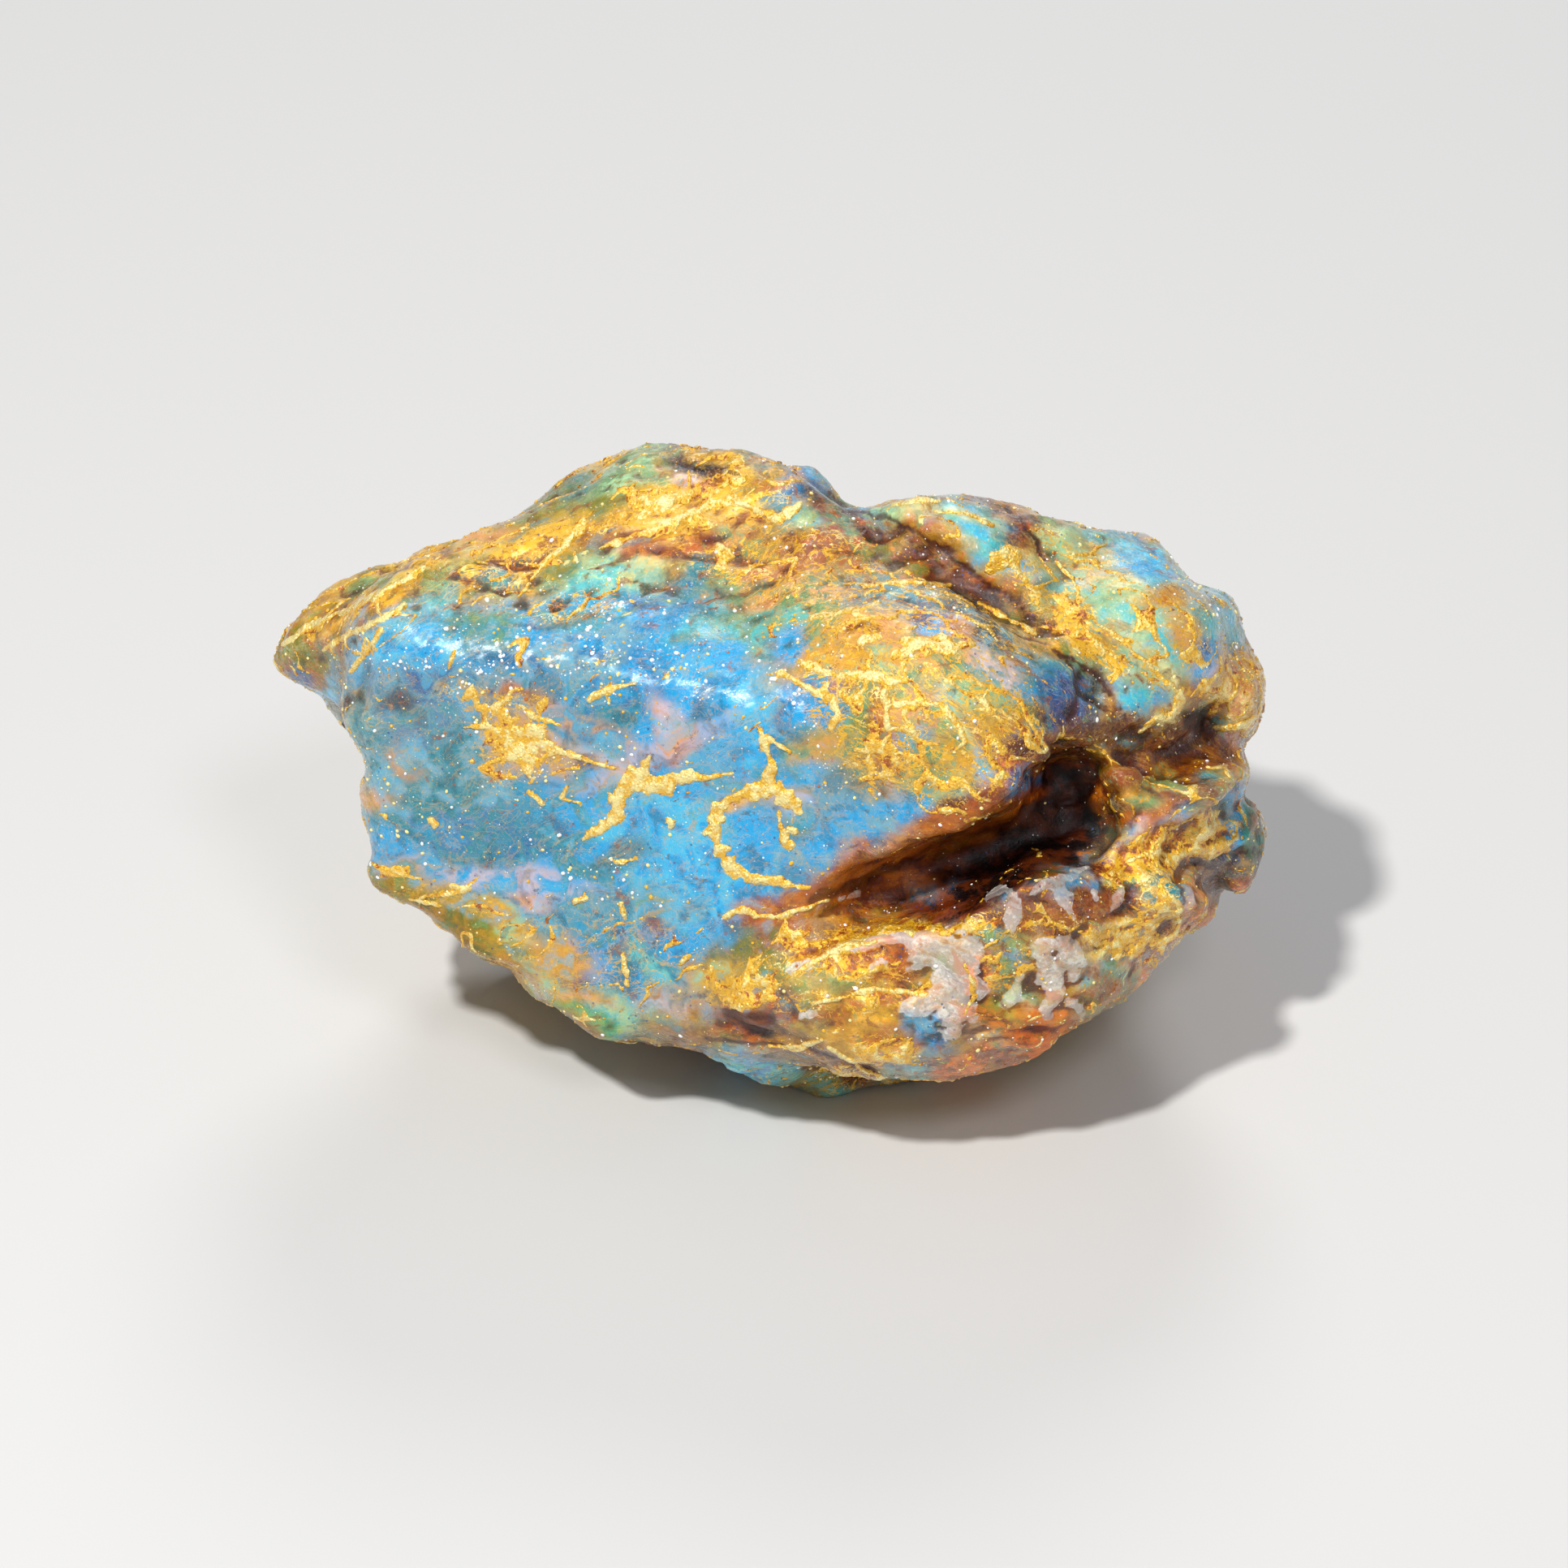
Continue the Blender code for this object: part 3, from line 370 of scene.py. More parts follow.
# Lines along which the crust stands highest: (across, down, half width) of each point
VEINS = [
    [(606, 900, 5), (630, 908, 15), (640, 925, 17), (648, 945, 13), (652, 956, 5)],
    [(640, 902, 9), (664, 899, 9), (668, 915, 7), (690, 926, 4), (722, 937, 3), (755, 946, 2)],
    [(640, 868, 2), (660, 886, 4), (690, 893, 2)], [(570, 895, 2), (604, 896, 4)],
    [(728, 862, 4), (745, 850, 6), (760, 846, 4), (785, 842, 2)],
    [(798, 935, 4), (790, 950, 9), (772, 965, 12), (762, 985, 12), (757, 1005, 9), (740, 1020, 7), (718, 1034, 4)],
    [(795, 966, 12), (815, 965, 13), (835, 958, 10), (850, 955, 7), (875, 958, 5), (903, 953, 2)],
    [(937, 900, 5), (943, 920, 6), (950, 940, 6), (950, 965, 7), (945, 980, 5)],
    [(945, 905, 3), (960, 920, 3), (974, 926, 2)],
    [(985, 1000, 7), (975, 985, 10), (958, 975, 11), (935, 972, 12), (915, 980, 9), (897, 988, 7)],
    [(897, 988, 7), (885, 1000, 9), (878, 1018, 10), (885, 1035, 7), (888, 1050, 11), (900, 1068, 9), (905, 1080, 5)],
    [(905, 1070, 7), (925, 1080, 6), (950, 1085, 6), (975, 1090, 5), (998, 1095, 2)],
    [(890, 1008, 6), (868, 1026, 4)], [(960, 1000, 3), (962, 1020, 4), (970, 1038, 7), (973, 1045, 4)],
    [(970, 1020, 6), (981, 1023, 6)], [(530, 1010, 4), (536, 1016, 5)], [(470, 1003, 4), (475, 1007, 4)],
    [(822, 1010, 3), (828, 1018, 4)], [(768, 1175, 2), (770, 1195, 4), (772, 1215, 5)],
    [(708, 1111, 4), (722, 1107, 4)], [(765, 1113, 3), (770, 1130, 3)], [(556, 1093, 3), (578, 1094, 6)],
    [(835, 1190, 3), (846, 1179, 4)], [(650, 975, 2), (668, 990, 3)], [(700, 970, 3), (692, 985, 2), (715, 990, 2)],
    [(893, 1131, 4), (915, 1120, 7), (935, 1128, 5), (960, 1130, 4), (1000, 1116, 3), (1022, 1109, 2)],
    [(505, 1108, 2), (532, 1112, 5), (545, 1116, 2)], [(750, 1060, 2), (770, 1062, 4), (782, 1058, 2)],
    [(720, 640, 4), (712, 655, 7), (700, 665, 5), (688, 680, 3), (668, 695, 3), (655, 715, 2), (640, 737, 2)],
    [(638, 693, 2), (668, 698, 2)], [(738, 676, 2), (760, 668, 6), (800, 655, 5), (830, 640, 3)],
    [(830, 640, 3), (870, 626, 5), (900, 615, 5), (925, 624, 6), (960, 640, 7), (985, 622, 5)],
    [(785, 636, 6), (815, 620, 9), (845, 612, 8)], [(885, 670, 5), (896, 685, 9), (888, 700, 5)],
    [(350, 795, 3), (380, 770, 4), (420, 755, 4), (470, 730, 4), (520, 700, 4)],
    [(400, 800, 3), (440, 775, 5), (480, 760, 5), (500, 745, 3)], [(432, 828, 3), (455, 800, 3), (470, 775, 3)],
    [(985, 815, 4), (1010, 825, 6), (1040, 832, 5), (1075, 835, 7), (1100, 840, 7), (1116, 840, 3)],
    [(960, 828, 5), (1000, 850, 6), (1025, 860, 4), (1030, 880, 5), (1022, 900, 3)],
    [(1090, 855, 5), (1092, 885, 5), (1096, 905, 4), (1102, 930, 4), (1105, 950, 3)],
    [(1055, 925, 4), (1085, 925, 5), (1098, 905, 4)], [(1072, 930, 3), (1075, 955, 4)],
    [(1100, 870, 4), (1130, 865, 5), (1160, 868, 4), (1175, 885, 4), (1190, 912, 4), (1175, 925, 2)],
    [(1063, 723, 2), (1110, 716, 3), (1174, 721, 2)], [(1100, 806, 6), (1140, 795, 7), (1175, 802, 6), (1160, 785, 4)],
    [(1000, 762, 3), (1040, 752, 4), (1080, 760, 3)], [(1060, 792, 6), (1085, 785, 5)],
    [(1205, 742, 3), (1245, 762, 3), (1275, 780, 4)], [(1300, 690, 2), (1322, 715, 2), (1332, 740, 2)],
    [(1370, 780, 2), (1410, 815, 2), (1450, 850, 3)], [(1440, 885, 5), (1455, 865, 7), (1458, 850, 4)],
    [(1405, 900, 3), (1425, 888, 5), (1445, 888, 4)], [(1500, 898, 4), (1530, 895, 6), (1545, 885, 4)],
    [(1150, 630, 2), (1190, 632, 2), (1225, 648, 2)], [(1100, 622, 3), (1130, 616, 4), (1160, 618, 2)],
    [(980, 1200, 4), (1040, 1165, 4), (1080, 1160, 4)], [(1000, 1236, 3), (1080, 1218, 4), (1140, 1224, 3)],
    [(1020, 1290, 2), (1070, 1320, 3), (1100, 1335, 2)], [(950, 1290, 3), (985, 1292, 4), (1010, 1280, 3)],
    [(1390, 1060, 3), (1430, 1050, 5), (1445, 1070, 3)], [(1460, 1055, 4), (1490, 1020, 7), (1500, 1000, 3)],
    [(1410, 1090, 3), (1440, 1095, 3), (1455, 1120, 3), (1448, 1150, 3), (1420, 1165, 3)],
    [(1345, 1160, 5), (1370, 1165, 8), (1400, 1145, 7)], [(1190, 1190, 3), (1200, 1225, 5), (1190, 1250, 3)],
]

# Drops and runs of pale resin, painted pale as a reflection in them: (across, down, half width) of each point
FILMS_AND_REFLECTIONS = [
    [(1219, 1106, 4), (1226, 1100, 5), (1244, 1099, 5), (1254, 1107, 5), (1246, 1124, 9), (1250, 1146, 5)],
    [(1272, 1100, 4), (1290, 1090, 6), (1305, 1084, 7), (1324, 1076, 4), (1344, 1068, 2)],
    [(1302, 1092, 6), (1310, 1106, 8), (1318, 1120, 5), (1320, 1130, 3)],
    [(1344, 1096, 4), (1350, 1110, 3)], [(1382, 1090, 3), (1376, 1106, 5), (1370, 1124, 4)],
    [(978, 1195, 5), (992, 1189, 8), (1003, 1184, 5)], [(1076, 1194, 6), (1086, 1186, 7)],
    [(1040, 1166, 3), (1065, 1164, 4), (1085, 1158, 6), (1110, 1156, 8), (1140, 1158, 12), (1200, 1168, 9)],
    [(1132, 1162, 18), (1160, 1185, 31), (1172, 1215, 33), (1172, 1248, 24), (1180, 1272, 9)],
    [(1168, 1228, 20), (1130, 1240, 13), (1112, 1240, 5)], [(1196, 1180, 10), (1204, 1200, 5)],
    [(1276, 1166, 8), (1300, 1164, 14), (1322, 1174, 12), (1334, 1186, 5)], [(1316, 1180, 12), (1326, 1204, 5)],
    [(1284, 1178, 8), (1294, 1204, 15), (1300, 1228, 13), (1288, 1250, 6)],
    [(1256, 1206, 5), (1250, 1226, 9), (1240, 1240, 5)],
    [(1318, 1238, 7), (1330, 1246, 4)], [(989, 1252, 3), (1003, 1246, 4)], [(1056, 1100, 2), (1030, 1108, 3)],
]

# Lines and hollows between the folds, painted dark as the shade in them: (across, down, half width) of each point
SHADED_FOLDS = [
    [(1020, 610, 4), (1045, 630, 5), (1100, 640, 3), (1150, 668, 5), (1200, 708, 5), (1250, 742, 4), (1274, 762, 2)],
    [(1174, 722, 2), (1210, 755, 2), (1262, 785, 2), (1305, 802, 3), (1345, 830, 3), (1375, 860, 4), (1385, 885, 3)],
    [(1315, 815, 2), (1330, 850, 4), (1318, 890, 5)], [(1290, 690, 3), (1265, 650, 4), (1235, 622, 3)],
    [(835, 565, 2), (860, 583, 3), (900, 594, 2)],
    [(900, 1250, 10), (940, 1262, 14), (965, 1275, 5)], [(870, 1280, 5), (1000, 1295, 3), (1080, 1325, 3)],
    [(1000, 1105, 8), (1060, 1090, 8), (1130, 1060, 6)], [(1140, 1245, 3), (1160, 1270, 3)],
    [(1340, 1140, 6), (1320, 1160, 6)],
    [(1475, 1060, 4), (1500, 1075, 5)], [(1205, 1190, 4), (1210, 1235, 5)],
    [(1440, 1150, 3), (1458, 1110, 4), (1445, 1085, 3)],
]


def hand_mark(name, x, y, wobble):
    """Strength of one kind of mark at each place, from its patches with their edges wavy."""
    best = np.zeros(len(x))
    for across, down, long, wide, angle, strength in MARKS[name]:
        small = min(long, wide)
        depth = patch_depth(x, y, across, down, long, wide, angle) + wobble * min(1, small / 30)
        edge = 4 + 0.25 * small
        best = np.maximum(best, strength * step(-edge, edge, depth))
    return best


def laid(colour, share, name):
    return colour + share[:, None] * (np.array(PALETTE[name][:3]) - colour)


def unseen_ground(p):
    """The two colours where the picture doesn't show the stone."""
    first = np.tile(PALETTE["olive"][:3], (len(p), 1))
    second = np.tile(PALETTE["honey"][:3], (len(p), 1))
    for size, seed, low, one, other in [
        (9, 1, 0.05, "azure", "teal"), (8, 2, 0.10, "sage", "honey"), (6, 3, 0.16, "rust", "brown"),
        (7, 4, 0.16, "mint", "turquoise"), (5, 5, 0.24, "peach", "lilac"), (6, 6, 0.20, "amber", "gold"),
        (10, 7, 0.10, "azure", "slate"), (5, 8, 0.26, "indigo", "deep azure"), (4, 9, 0.28, "brown", "dark"),
    ]:
        share = step(low, low + 0.16, fractal(p, size, 4, 0.55, seed))
        first, second = laid(first, share, one), laid(second, share, other)
    return first, second


def unseen_marks(p):
    blue = step(0.05, 0.25, fractal(p, 9, 4, 0.55, 1))
    return {
        "gold": np.clip(0.50 + 0.5 * fractal(p, 7, seed=16) - 0.35 * blue, 0, 0.9),
        "calm": 0.85 * blue,
        "film_and_reflection": 0.8 * step(0.34, 0.42, fractal(p, 4, seed=17)),
        "cobble": step(-0.1, 0.2, fractal(p, 10, seed=18)),
        "rope": step(0.1, -0.2, fractal(p, 10, seed=18)),
        "glow": 0.7 * step(0.1, 0.35, fractal(p, 10, seed=19)),
        "even": 0.6 * step(0.1, 0.3, fractal(p, 8, seed=20)),
        "hole": 0.9 * step(0.34, 0.46, fractal(p, 9, seed=27)),
    }


def tones_at(p, normals):
    """The ground's two colours and every mark at the points, and how surely the picture shows them."""
    bent = warp(warp(p, 2.8, 0.55, seed=40), 0.9, 0.22, seed=50)
    x, y = picture_place(bent)
    wobble = 14 * noise(p, 1.4, 61) + 8 * noise(p, 0.55, 62)
    toward = EYE - p
    toward /= np.linalg.norm(toward, axis=1)[:, None]
    facing = np.einsum("ij,ij->i", normals, toward)
    shown = step(-0.16, 0.02, facing + 0.06 * noise(p, 2.0, 60))
    shown = np.maximum(shown, step(-0.7, -0.45, facing) * step(0, 0.4, hand_mark("hole", x, y, wobble + 34)))
    first, second = unseen_ground(p)
    for across, down, long, wide, angle, strength, one, other in GROUND:
        small = min(long, wide)
        depth = patch_depth(x, y, across, down, long, wide, angle) + wobble * min(1, small / 30)
        edge = 4 + 0.3 * small
        share = shown * strength * step(-edge, edge, depth)
        first, second = laid(first, share, one), laid(second, share, other)
    away = unseen_marks(p)
    marks = {name: hand_mark(name, x, y, wobble) * shown + away[name] * (1 - shown) for name in MARKS}
    x, y = picture_place(warp(p, 0.9, 0.2, seed=51))
    # the creases between the folds, painted dark as the shade in them
    fold = np.max([line_depth(x, y, points) for points in SHADED_FOLDS], axis=0) + 0.5 * noise(p, 0.9, 63)
    marks["fold"] = step(-0.5, 0.7, fold) * shown
    # the pale resin, whose pale colour is painted reflection
    film_and_reflection = np.max([line_depth(x, y, points) for points in FILMS_AND_REFLECTIONS], axis=0)
    film_and_reflection = film_and_reflection + 0.7 * noise(p, 1.1, 64) + 0.4 * noise(p, 0.4, 65) + 0.25
    marks["film_and_reflection"] = step(-0.2, 0.6, film_and_reflection) * shown + away["film_and_reflection"] * (1 - shown)
    return first, second, marks, shown


# meshes as arrays
def array_of(collection, attribute, width, kind=np.float64):
    values = np.empty(len(collection) * width, dtype=kind)
    collection.foreach_get(attribute, values)
    return values.reshape(-1, width) if width > 1 else values


def mesh_arrays(mesh):
    mesh.calc_loop_triangles()
    places = array_of(mesh.vertices, "co", 3) / MM
    triangles = array_of(mesh.loop_triangles, "vertices", 3, np.int32)
    return places, triangles


def vertex_normals(places, triangles):
    a, b, c = (places[triangles[:, k]] for k in range(3))
    face = np.cross(b - a, c - a)
    total = np.zeros_like(places)
    for k in range(3):
        for axis in range(3):
            total[:, axis] += np.bincount(triangles[:, k], face[:, axis], len(places))
    return total / np.maximum(np.linalg.norm(total, axis=1), 1e-12)[:, None]


def unique_edges(triangles):
    pairs = np.concatenate([triangles[:, [0, 1]], triangles[:, [1, 2]], triangles[:, [2, 0]]])
    pairs = np.sort(pairs, axis=1)
    edges, which = np.unique(pairs[:, 0].astype(np.int64) << 32 | pairs[:, 1], return_inverse=True)
    return np.stack([edges >> 32, edges & 0xFFFFFFFF], axis=1), which.reshape(3, -1).T


def smoothed(values, edges, rounds, factor=0.5):
    """Each value drawn towards the mean of its neighbours', round by round."""
    count = np.bincount(edges.ravel(), minlength=len(values)).astype(float)
    flat = values.reshape(len(values), -1).copy()
    for _ in range(rounds):
        for k in range(flat.shape[1]):
            near = np.bincount(edges[:, 0], flat[edges[:, 1], k], len(values))
            near += np.bincount(edges[:, 1], flat[edges[:, 0], k], len(values))
            flat[:, k] += factor * (near / np.maximum(count, 1) - flat[:, k])
    return flat.reshape(values.shape)


def new_piece(name, places, triangles, colours):
    """A smooth mesh object that stands for the CAD stone, with its colour attributes."""
    mesh = bpy.data.meshes.new(name)
    mesh.vertices.add(len(places))
    mesh.vertices.foreach_set("co", (places * MM).ravel())
    mesh.loops.add(triangles.size)
    mesh.loops.foreach_set("vertex_index", triangles.ravel().astype(np.int32))
    mesh.polygons.add(len(triangles))
    mesh.polygons.foreach_set("loop_start", np.arange(0, triangles.size, 3, dtype=np.int32))
    mesh.polygons.foreach_set("loop_total", np.full(len(triangles), 3, dtype=np.int32))
    mesh.update(calc_edges=True)
    mesh.validate()
    mesh.shade_smooth()
    for label, channels in colours.items():
        layer = mesh.color_attributes.new(label, "FLOAT_COLOR", "POINT")
        filled = np.ones((len(places), 4))
        filled[:, : len(channels)] = np.stack(channels, axis=1)
        layer.data.foreach_set("color", filled.ravel())
    piece = bpy.data.objects.new(name, mesh)
    bpy.context.scene.collection.objects.link(piece)
    return piece


def even_skin(source, grain):
    """The CAD stone's surface as an even mesh with its facets smoothed away."""
    copy = bpy.data.objects.new("skin", source.data.copy())
    bpy.context.scene.collection.objects.link(copy)
    remesh = copy.modifiers.new("skin", "REMESH")
    remesh.mode = "VOXEL"
    remesh.voxel_size = grain * MM
    weld = copy.modifiers.new("weld", "WELD")
    weld.merge_threshold = grain * MM / 50
    bpy.context.view_layer.update()
    graph = bpy.context.evaluated_depsgraph_get()
    mesh = bpy.data.meshes.new_from_object(copy.evaluated_get(graph))
    places, triangles = mesh_arrays(mesh)
    bpy.data.objects.remove(copy)
    bpy.data.meshes.remove(mesh)
    return places, triangles


# the stone
def squeezed(p, angle, stretch):
    """Points squeezed along a direction of the picture, so that noise on them runs that way."""
    a = math.radians(angle)
    run = math.cos(a) * RIGHT + math.sin(a) * UP
    return p - np.outer(p @ run, run) * (1 - 1 / stretch)


def streaked(p, function):
    """A noise that runs up to the right on the left of the stone and down to the right on its right."""
    x, y = picture_place(p)
    right = step(950, 1080, x)
    low = step(1080, 1180, y - 0.2 * (x - 1100)) * right
    total = function(squeezed(p, 24, 2.6)) * (1 - right)
    return total + function(squeezed(p, -34, 2.4)) * (right - low) + function(squeezed(p, 8, 2.0)) * low


def cobbles(points, size, seed):
    """Rounded stones packed side by side: 1 over each of them, 0 in the seams between."""
    rng = np.random.default_rng(seed)
    order, jitter = rng.permutation(256), rng.random((256, 3))
    p = points / size
    cell = np.floor(p).astype(np.int64)
    f = p - cell
    nearest = np.full(len(p), 9.0)
    second = np.full(len(p), 9.0)
    for dx in (-1, 0, 1):
        for dy in (-1, 0, 1):
            for dz in (-1, 0, 1):
                h = order[(cell[:, 0] + dx) & 255]
                h = order[(h + cell[:, 1] + dy) & 255]
                h = order[(h + cell[:, 2] + dz) & 255]
                away = ((jitter[h] + (dx, dy, dz) - f) ** 2).sum(axis=1)
                second = np.minimum(second, np.maximum(nearest, away))
                nearest = np.minimum(nearest, away)
    return step(0.0, 0.55, np.sqrt(second) - np.sqrt(nearest))


# The lumpy ridge along the top of the blue face: (across, down, half width) of each point
RIDGE = [(440, 790, 14), (560, 800, 18), (680, 806, 18), (790, 818, 18), (910, 858, 20), (980, 890, 14)]

# Where the outline is filled out or drawn in: (across, down, radius, shift across, shift down) in pixels
MOULD = [
    (1500, 952, 54, 34, 0), (1450, 1132, 74, 54, 0), (1495, 1092, 60, 18, 0), (1520, 760, 70, 8, -20),
    (446, 890, 64, -14, 0), (440, 980, 60, -10, 0), (464, 1095, 54, -20, 0), (592, 1184, 60, -16, 10),
    (735, 1275, 60, 0, 20), (1025, 1358, 50, 0, 18),
]


def moulded(places):
    x, y = picture_place(places)
    for across, down, radius, right, below in MOULD:
        share = step(radius, 0, np.hypot(x - across, y - down))
        places = places + share[:, None] * PIXEL * (right * RIGHT - below * UP)
    return places


def sculpt(places, triangles):
    """Adds the relief that is too fine for the CAD stone. Returns places, ground colours and marks."""
    edges, _ = unique_edges(triangles)
    coarser = (0.215 / STONE_GRAIN) ** 2
    places = smoothed(places, edges, int(round(22 * coarser)))
    places = moulded(places)
    normals = vertex_normals(places, triangles)
    first, second, marks, shown = tones_at(places, normals)
    smooth = np.max([0.9 * marks["calm"], 0.85 * marks["film_and_reflection"], marks["even"]], axis=0)
    rough = (1 - np.clip(smooth, 0, 1)) * (0.65 + 0.35 * shown)
    bent = warp(warp(places, 5.0, 1.1, 11), 1.6, 0.4, 12)
    ropes = streaked(bent, lambda q: threads(q, 2.6, 21)) - 0.5
    stones = cobbles(warp(places, 2.6, 0.9, 22), 3.8, 23) - 0.6 + 0.25 * cobbles(places, 1.5, 24)
    rise = rough * (0.10 + 0.16 * marks["rope"]) * ropes
    rise += rough * 0.48 * marks["cobble"] * stones
    rise += (0.35 + 0.65 * rough) * 0.24 * fractal(places, 2.6, 4, 0.5, 13)
    rise += rough * 0.09 * fractal(places, 0.7, 2, 0.6, 14) + 0.028 * noise(places, 0.85, 26)
    x, y = picture_place(places)
    ridge = step(-1.6, 0.4, line_depth(x, y, RIDGE))
    rise += ridge * (0.12 * noise(places, 0.95, 31) + 0.07 * noise(places, 0.5, 32))
    rise += 0.034 * noise(places, 0.55, 28) * step(-0.1, 0.3, noise(places, 2.4, 29)) * marks["calm"]
    level = (places @ UP + 1.3 * noise(places, 5.0, 15) + 0.4 * noise(places, 1.6, 16)) / 1.5
    tread = level - np.floor(level)
    shelf = rough * step(0.0, 0.4, noise(places, 4.0, 25)) * (1 - marks["calm"])
    rise += 0.26 * shelf * (step(0.0, 0.75, tread) - step(0.8, 1.0, tread) - 0.4)
    pits = step(0.56, 0.8, noise(places, 1.3, 19)) + 0.7 * step(0.60, 0.8, noise(places, 0.7, 20))
    rise -= 0.20 * pits * (0.25 + 0.75 * rough)
    rise -= 0.09 * marks["fold"]
    rise += 0.08 * step(0.3, 0.8, marks["film_and_reflection"])
    base = step(0.05, 0.5, places[:, 2])
    places = places + normals * (rise * base)[:, None]
    places[:, 2] = np.maximum(places[:, 2], 0.0)
    places = smoothed(places, edges, 1, 0.25)
    mean = smoothed(places, edges, int(round(24 * coarser)))
    hollow = np.einsum("ij,ij->i", mean - places, vertex_normals(places, triangles))
    marks["hollow"] = np.clip(0.5 + hollow / 0.26, 0, 1)
    marks["pits"] = np.clip(pits, 0, 1)
    near = smoothed(places, edges, int(round(5 * coarser)))
    crest = np.einsum("ij,ij->i", places - near, vertex_normals(places, triangles))
    marks["crest"] = np.clip(0.5 + crest / 0.09, 0, 1)
    return places, first, second, marks, shown


# the crust
def split_triangles(places, triangles, carried):
    """Each triangle becomes four. The new corners take the middle of what their edge's ends carry."""
    edges, which = unique_edges(triangles)
    middle = which + len(places)
    a, b, c = triangles.T
    ab, bc, ca = middle.T
    finer = np.concatenate(
        [np.stack(t, axis=1) for t in ((a, ab, ca), (ab, b, bc), (ca, bc, c), (ab, bc, ca))]
    )
    return finer, [np.concatenate([v, v[edges].mean(axis=1)]) for v in [places, *carried]]


def keep_used(triangles, carried):
    used, renamed = np.unique(triangles, return_inverse=True)
    return renamed.reshape(-1, 3), [v[used] for v in carried]


def cut_where_positive(triangles, field, carried):
    """The part of the mesh where the field is above 0, cut cleanly along its edge."""
    above = field[triangles] > 0
    count = above.sum(axis=1)
    whole = triangles[count == 3]
    new_triangles, ends, share = [whole], [], []
    made = 0
    total = len(field)

    def crossing(inner, outer):
        nonlocal made
        t = field[inner] / (field[inner] - field[outer])
        ends.append(np.stack([inner, outer], axis=1))
        share.append(t)
        made += len(inner)
        return np.arange(total + made - len(inner), total + made)

    one = count == 1
    first = np.argmax(above[one], axis=1)
    rows = np.arange(one.sum())
    t = triangles[one]
    a, b, c = t[rows, first], t[rows, (first + 1) % 3], t[rows, (first + 2) % 3]
    new_triangles.append(np.stack([a, crossing(a, b), crossing(a, c)], axis=1))
    two = count == 2
    last = np.argmin(above[two], axis=1)
    rows = np.arange(two.sum())
    t = triangles[two]
    c, a, b = t[rows, last], t[rows, (last + 1) % 3], t[rows, (last + 2) % 3]
    bc, ac = crossing(b, c), crossing(a, c)
    new_triangles += [np.stack([a, b, bc], axis=1), np.stack([a, bc, ac], axis=1)]
    ends, share = np.concatenate(ends), np.concatenate(share)
    out = []
    for v in carried:
        s = share.reshape(-1, *[1] * (v.ndim - 1))
        out.append(np.concatenate([v, v[ends[:, 0]] * (1 - s) + v[ends[:, 1]] * s]))
    return keep_used(np.concatenate(new_triangles), out)


def vein_field(p, normals):
    """Above 0 on the veins that are drawn by hand."""
    x, y = picture_place(warp(p, 0.8, 0.10, 70))
    toward = EYE - p
    toward /= np.linalg.norm(toward, axis=1)[:, None]
    shown = np.einsum("ij,ij->i", normals, toward)
    best = np.max([line_depth(x, y, points) for points in VEINS], axis=0)
    best = 1.15 * best + 0.8 * noise(p, 0.9, 72) + 0.75 * noise(p, 0.34, 73) - 0.05
    return np.where(shown > 0.1, best, -1.0)


def crust_field(p, density):
    """Above 0 where noise and the density of the crust raise it."""
    bent = warp(warp(p, 2.0, 0.5, 80), 0.7, 0.18, 79)
    web = streaked(bent, lambda q: threads(q, 1.3, 81, octaves=3))
    blots = fractal(bent, 1.6, 4, 0.7, 82)
    specks = noise(p, 0.28, 83)
    return 1.30 * density + 2.1 * (web**2 - 0.62) + 0.46 * blots + 0.30 * specks - 0.60


def crust(places, triangles, marks, shown):
    normals = vertex_normals(places, triangles)
    density = marks["gold"] - 0.3 * marks["fold"] - 0.3 * np.clip(marks["hollow"] - 0.5, -0.3, 1)
    density = density - 0.5 * step(0.4, 0.9, marks["film_and_reflection"])
    carried = [normals, density, marks["fold"], marks["hollow"], marks["crest"]]
    near = np.maximum(density, np.where(vein_field(places, normals) > -1.2, 0.5, 0))[triangles].max(axis=1)
    triangles, (places, *carried) = keep_used(triangles[near > 0.06], [places, *carried])
    triangles, (places, *carried) = split_triangles(places, triangles, carried)
    normals, density = carried[:2]
    veins = vein_field(places, normals)
    field = np.maximum(crust_field(places, density), veins)
    field = np.where(places[:, 2] > 0.35, field, -1.0)
    triangles, (places, normals, _, fold, hollow, crest, field, veins) = cut_where_positive(
        triangles, field, [places, *carried, field, veins]
    )
    height = 0.085 * step(0.0, 0.30, field) * (0.75 + 0.5 * noise(places, 0.7, 84)) - 0.010
    height += 0.05 * step(0.2, 0.9, field) * (0.5 + noise(places, 0.4, 85))
    places = places + normals * height[:, None]
    pale = np.clip(0.42 + 0.6 * fractal(places, 1.8, 3, 0.6, 86) + 0.8 * step(0, 0.5, veins), 0, 1)
    # how far into hollows and folds, for the painted shade on the crust
    deep = np.clip(0.6 * hollow + fold, 0, 1)
    colours = {"crust_tone": [np.clip(field, 0, 1), pale, deep], "crust_crest": [crest]}
    return places, triangles, colours


def crust_pieces(places, triangles, colours):
    """The crust's left and right halves."""
    material = crust_material()
    left = places[triangles, 0].mean(axis=1) < 0
    pieces = []
    for name, chosen in (("gold_crust_left", left), ("gold_crust_right", ~left)):
        channels = [places, *colours["crust_tone"], *colours["crust_crest"]]
        kept, (corners, *tones) = keep_used(triangles[chosen], channels)
        piece = new_piece(name, corners, kept, {"crust_tone": tones[:3], "crust_crest": tones[3:]})
        piece.data.materials.append(material)
        pieces.append(piece)
    return pieces
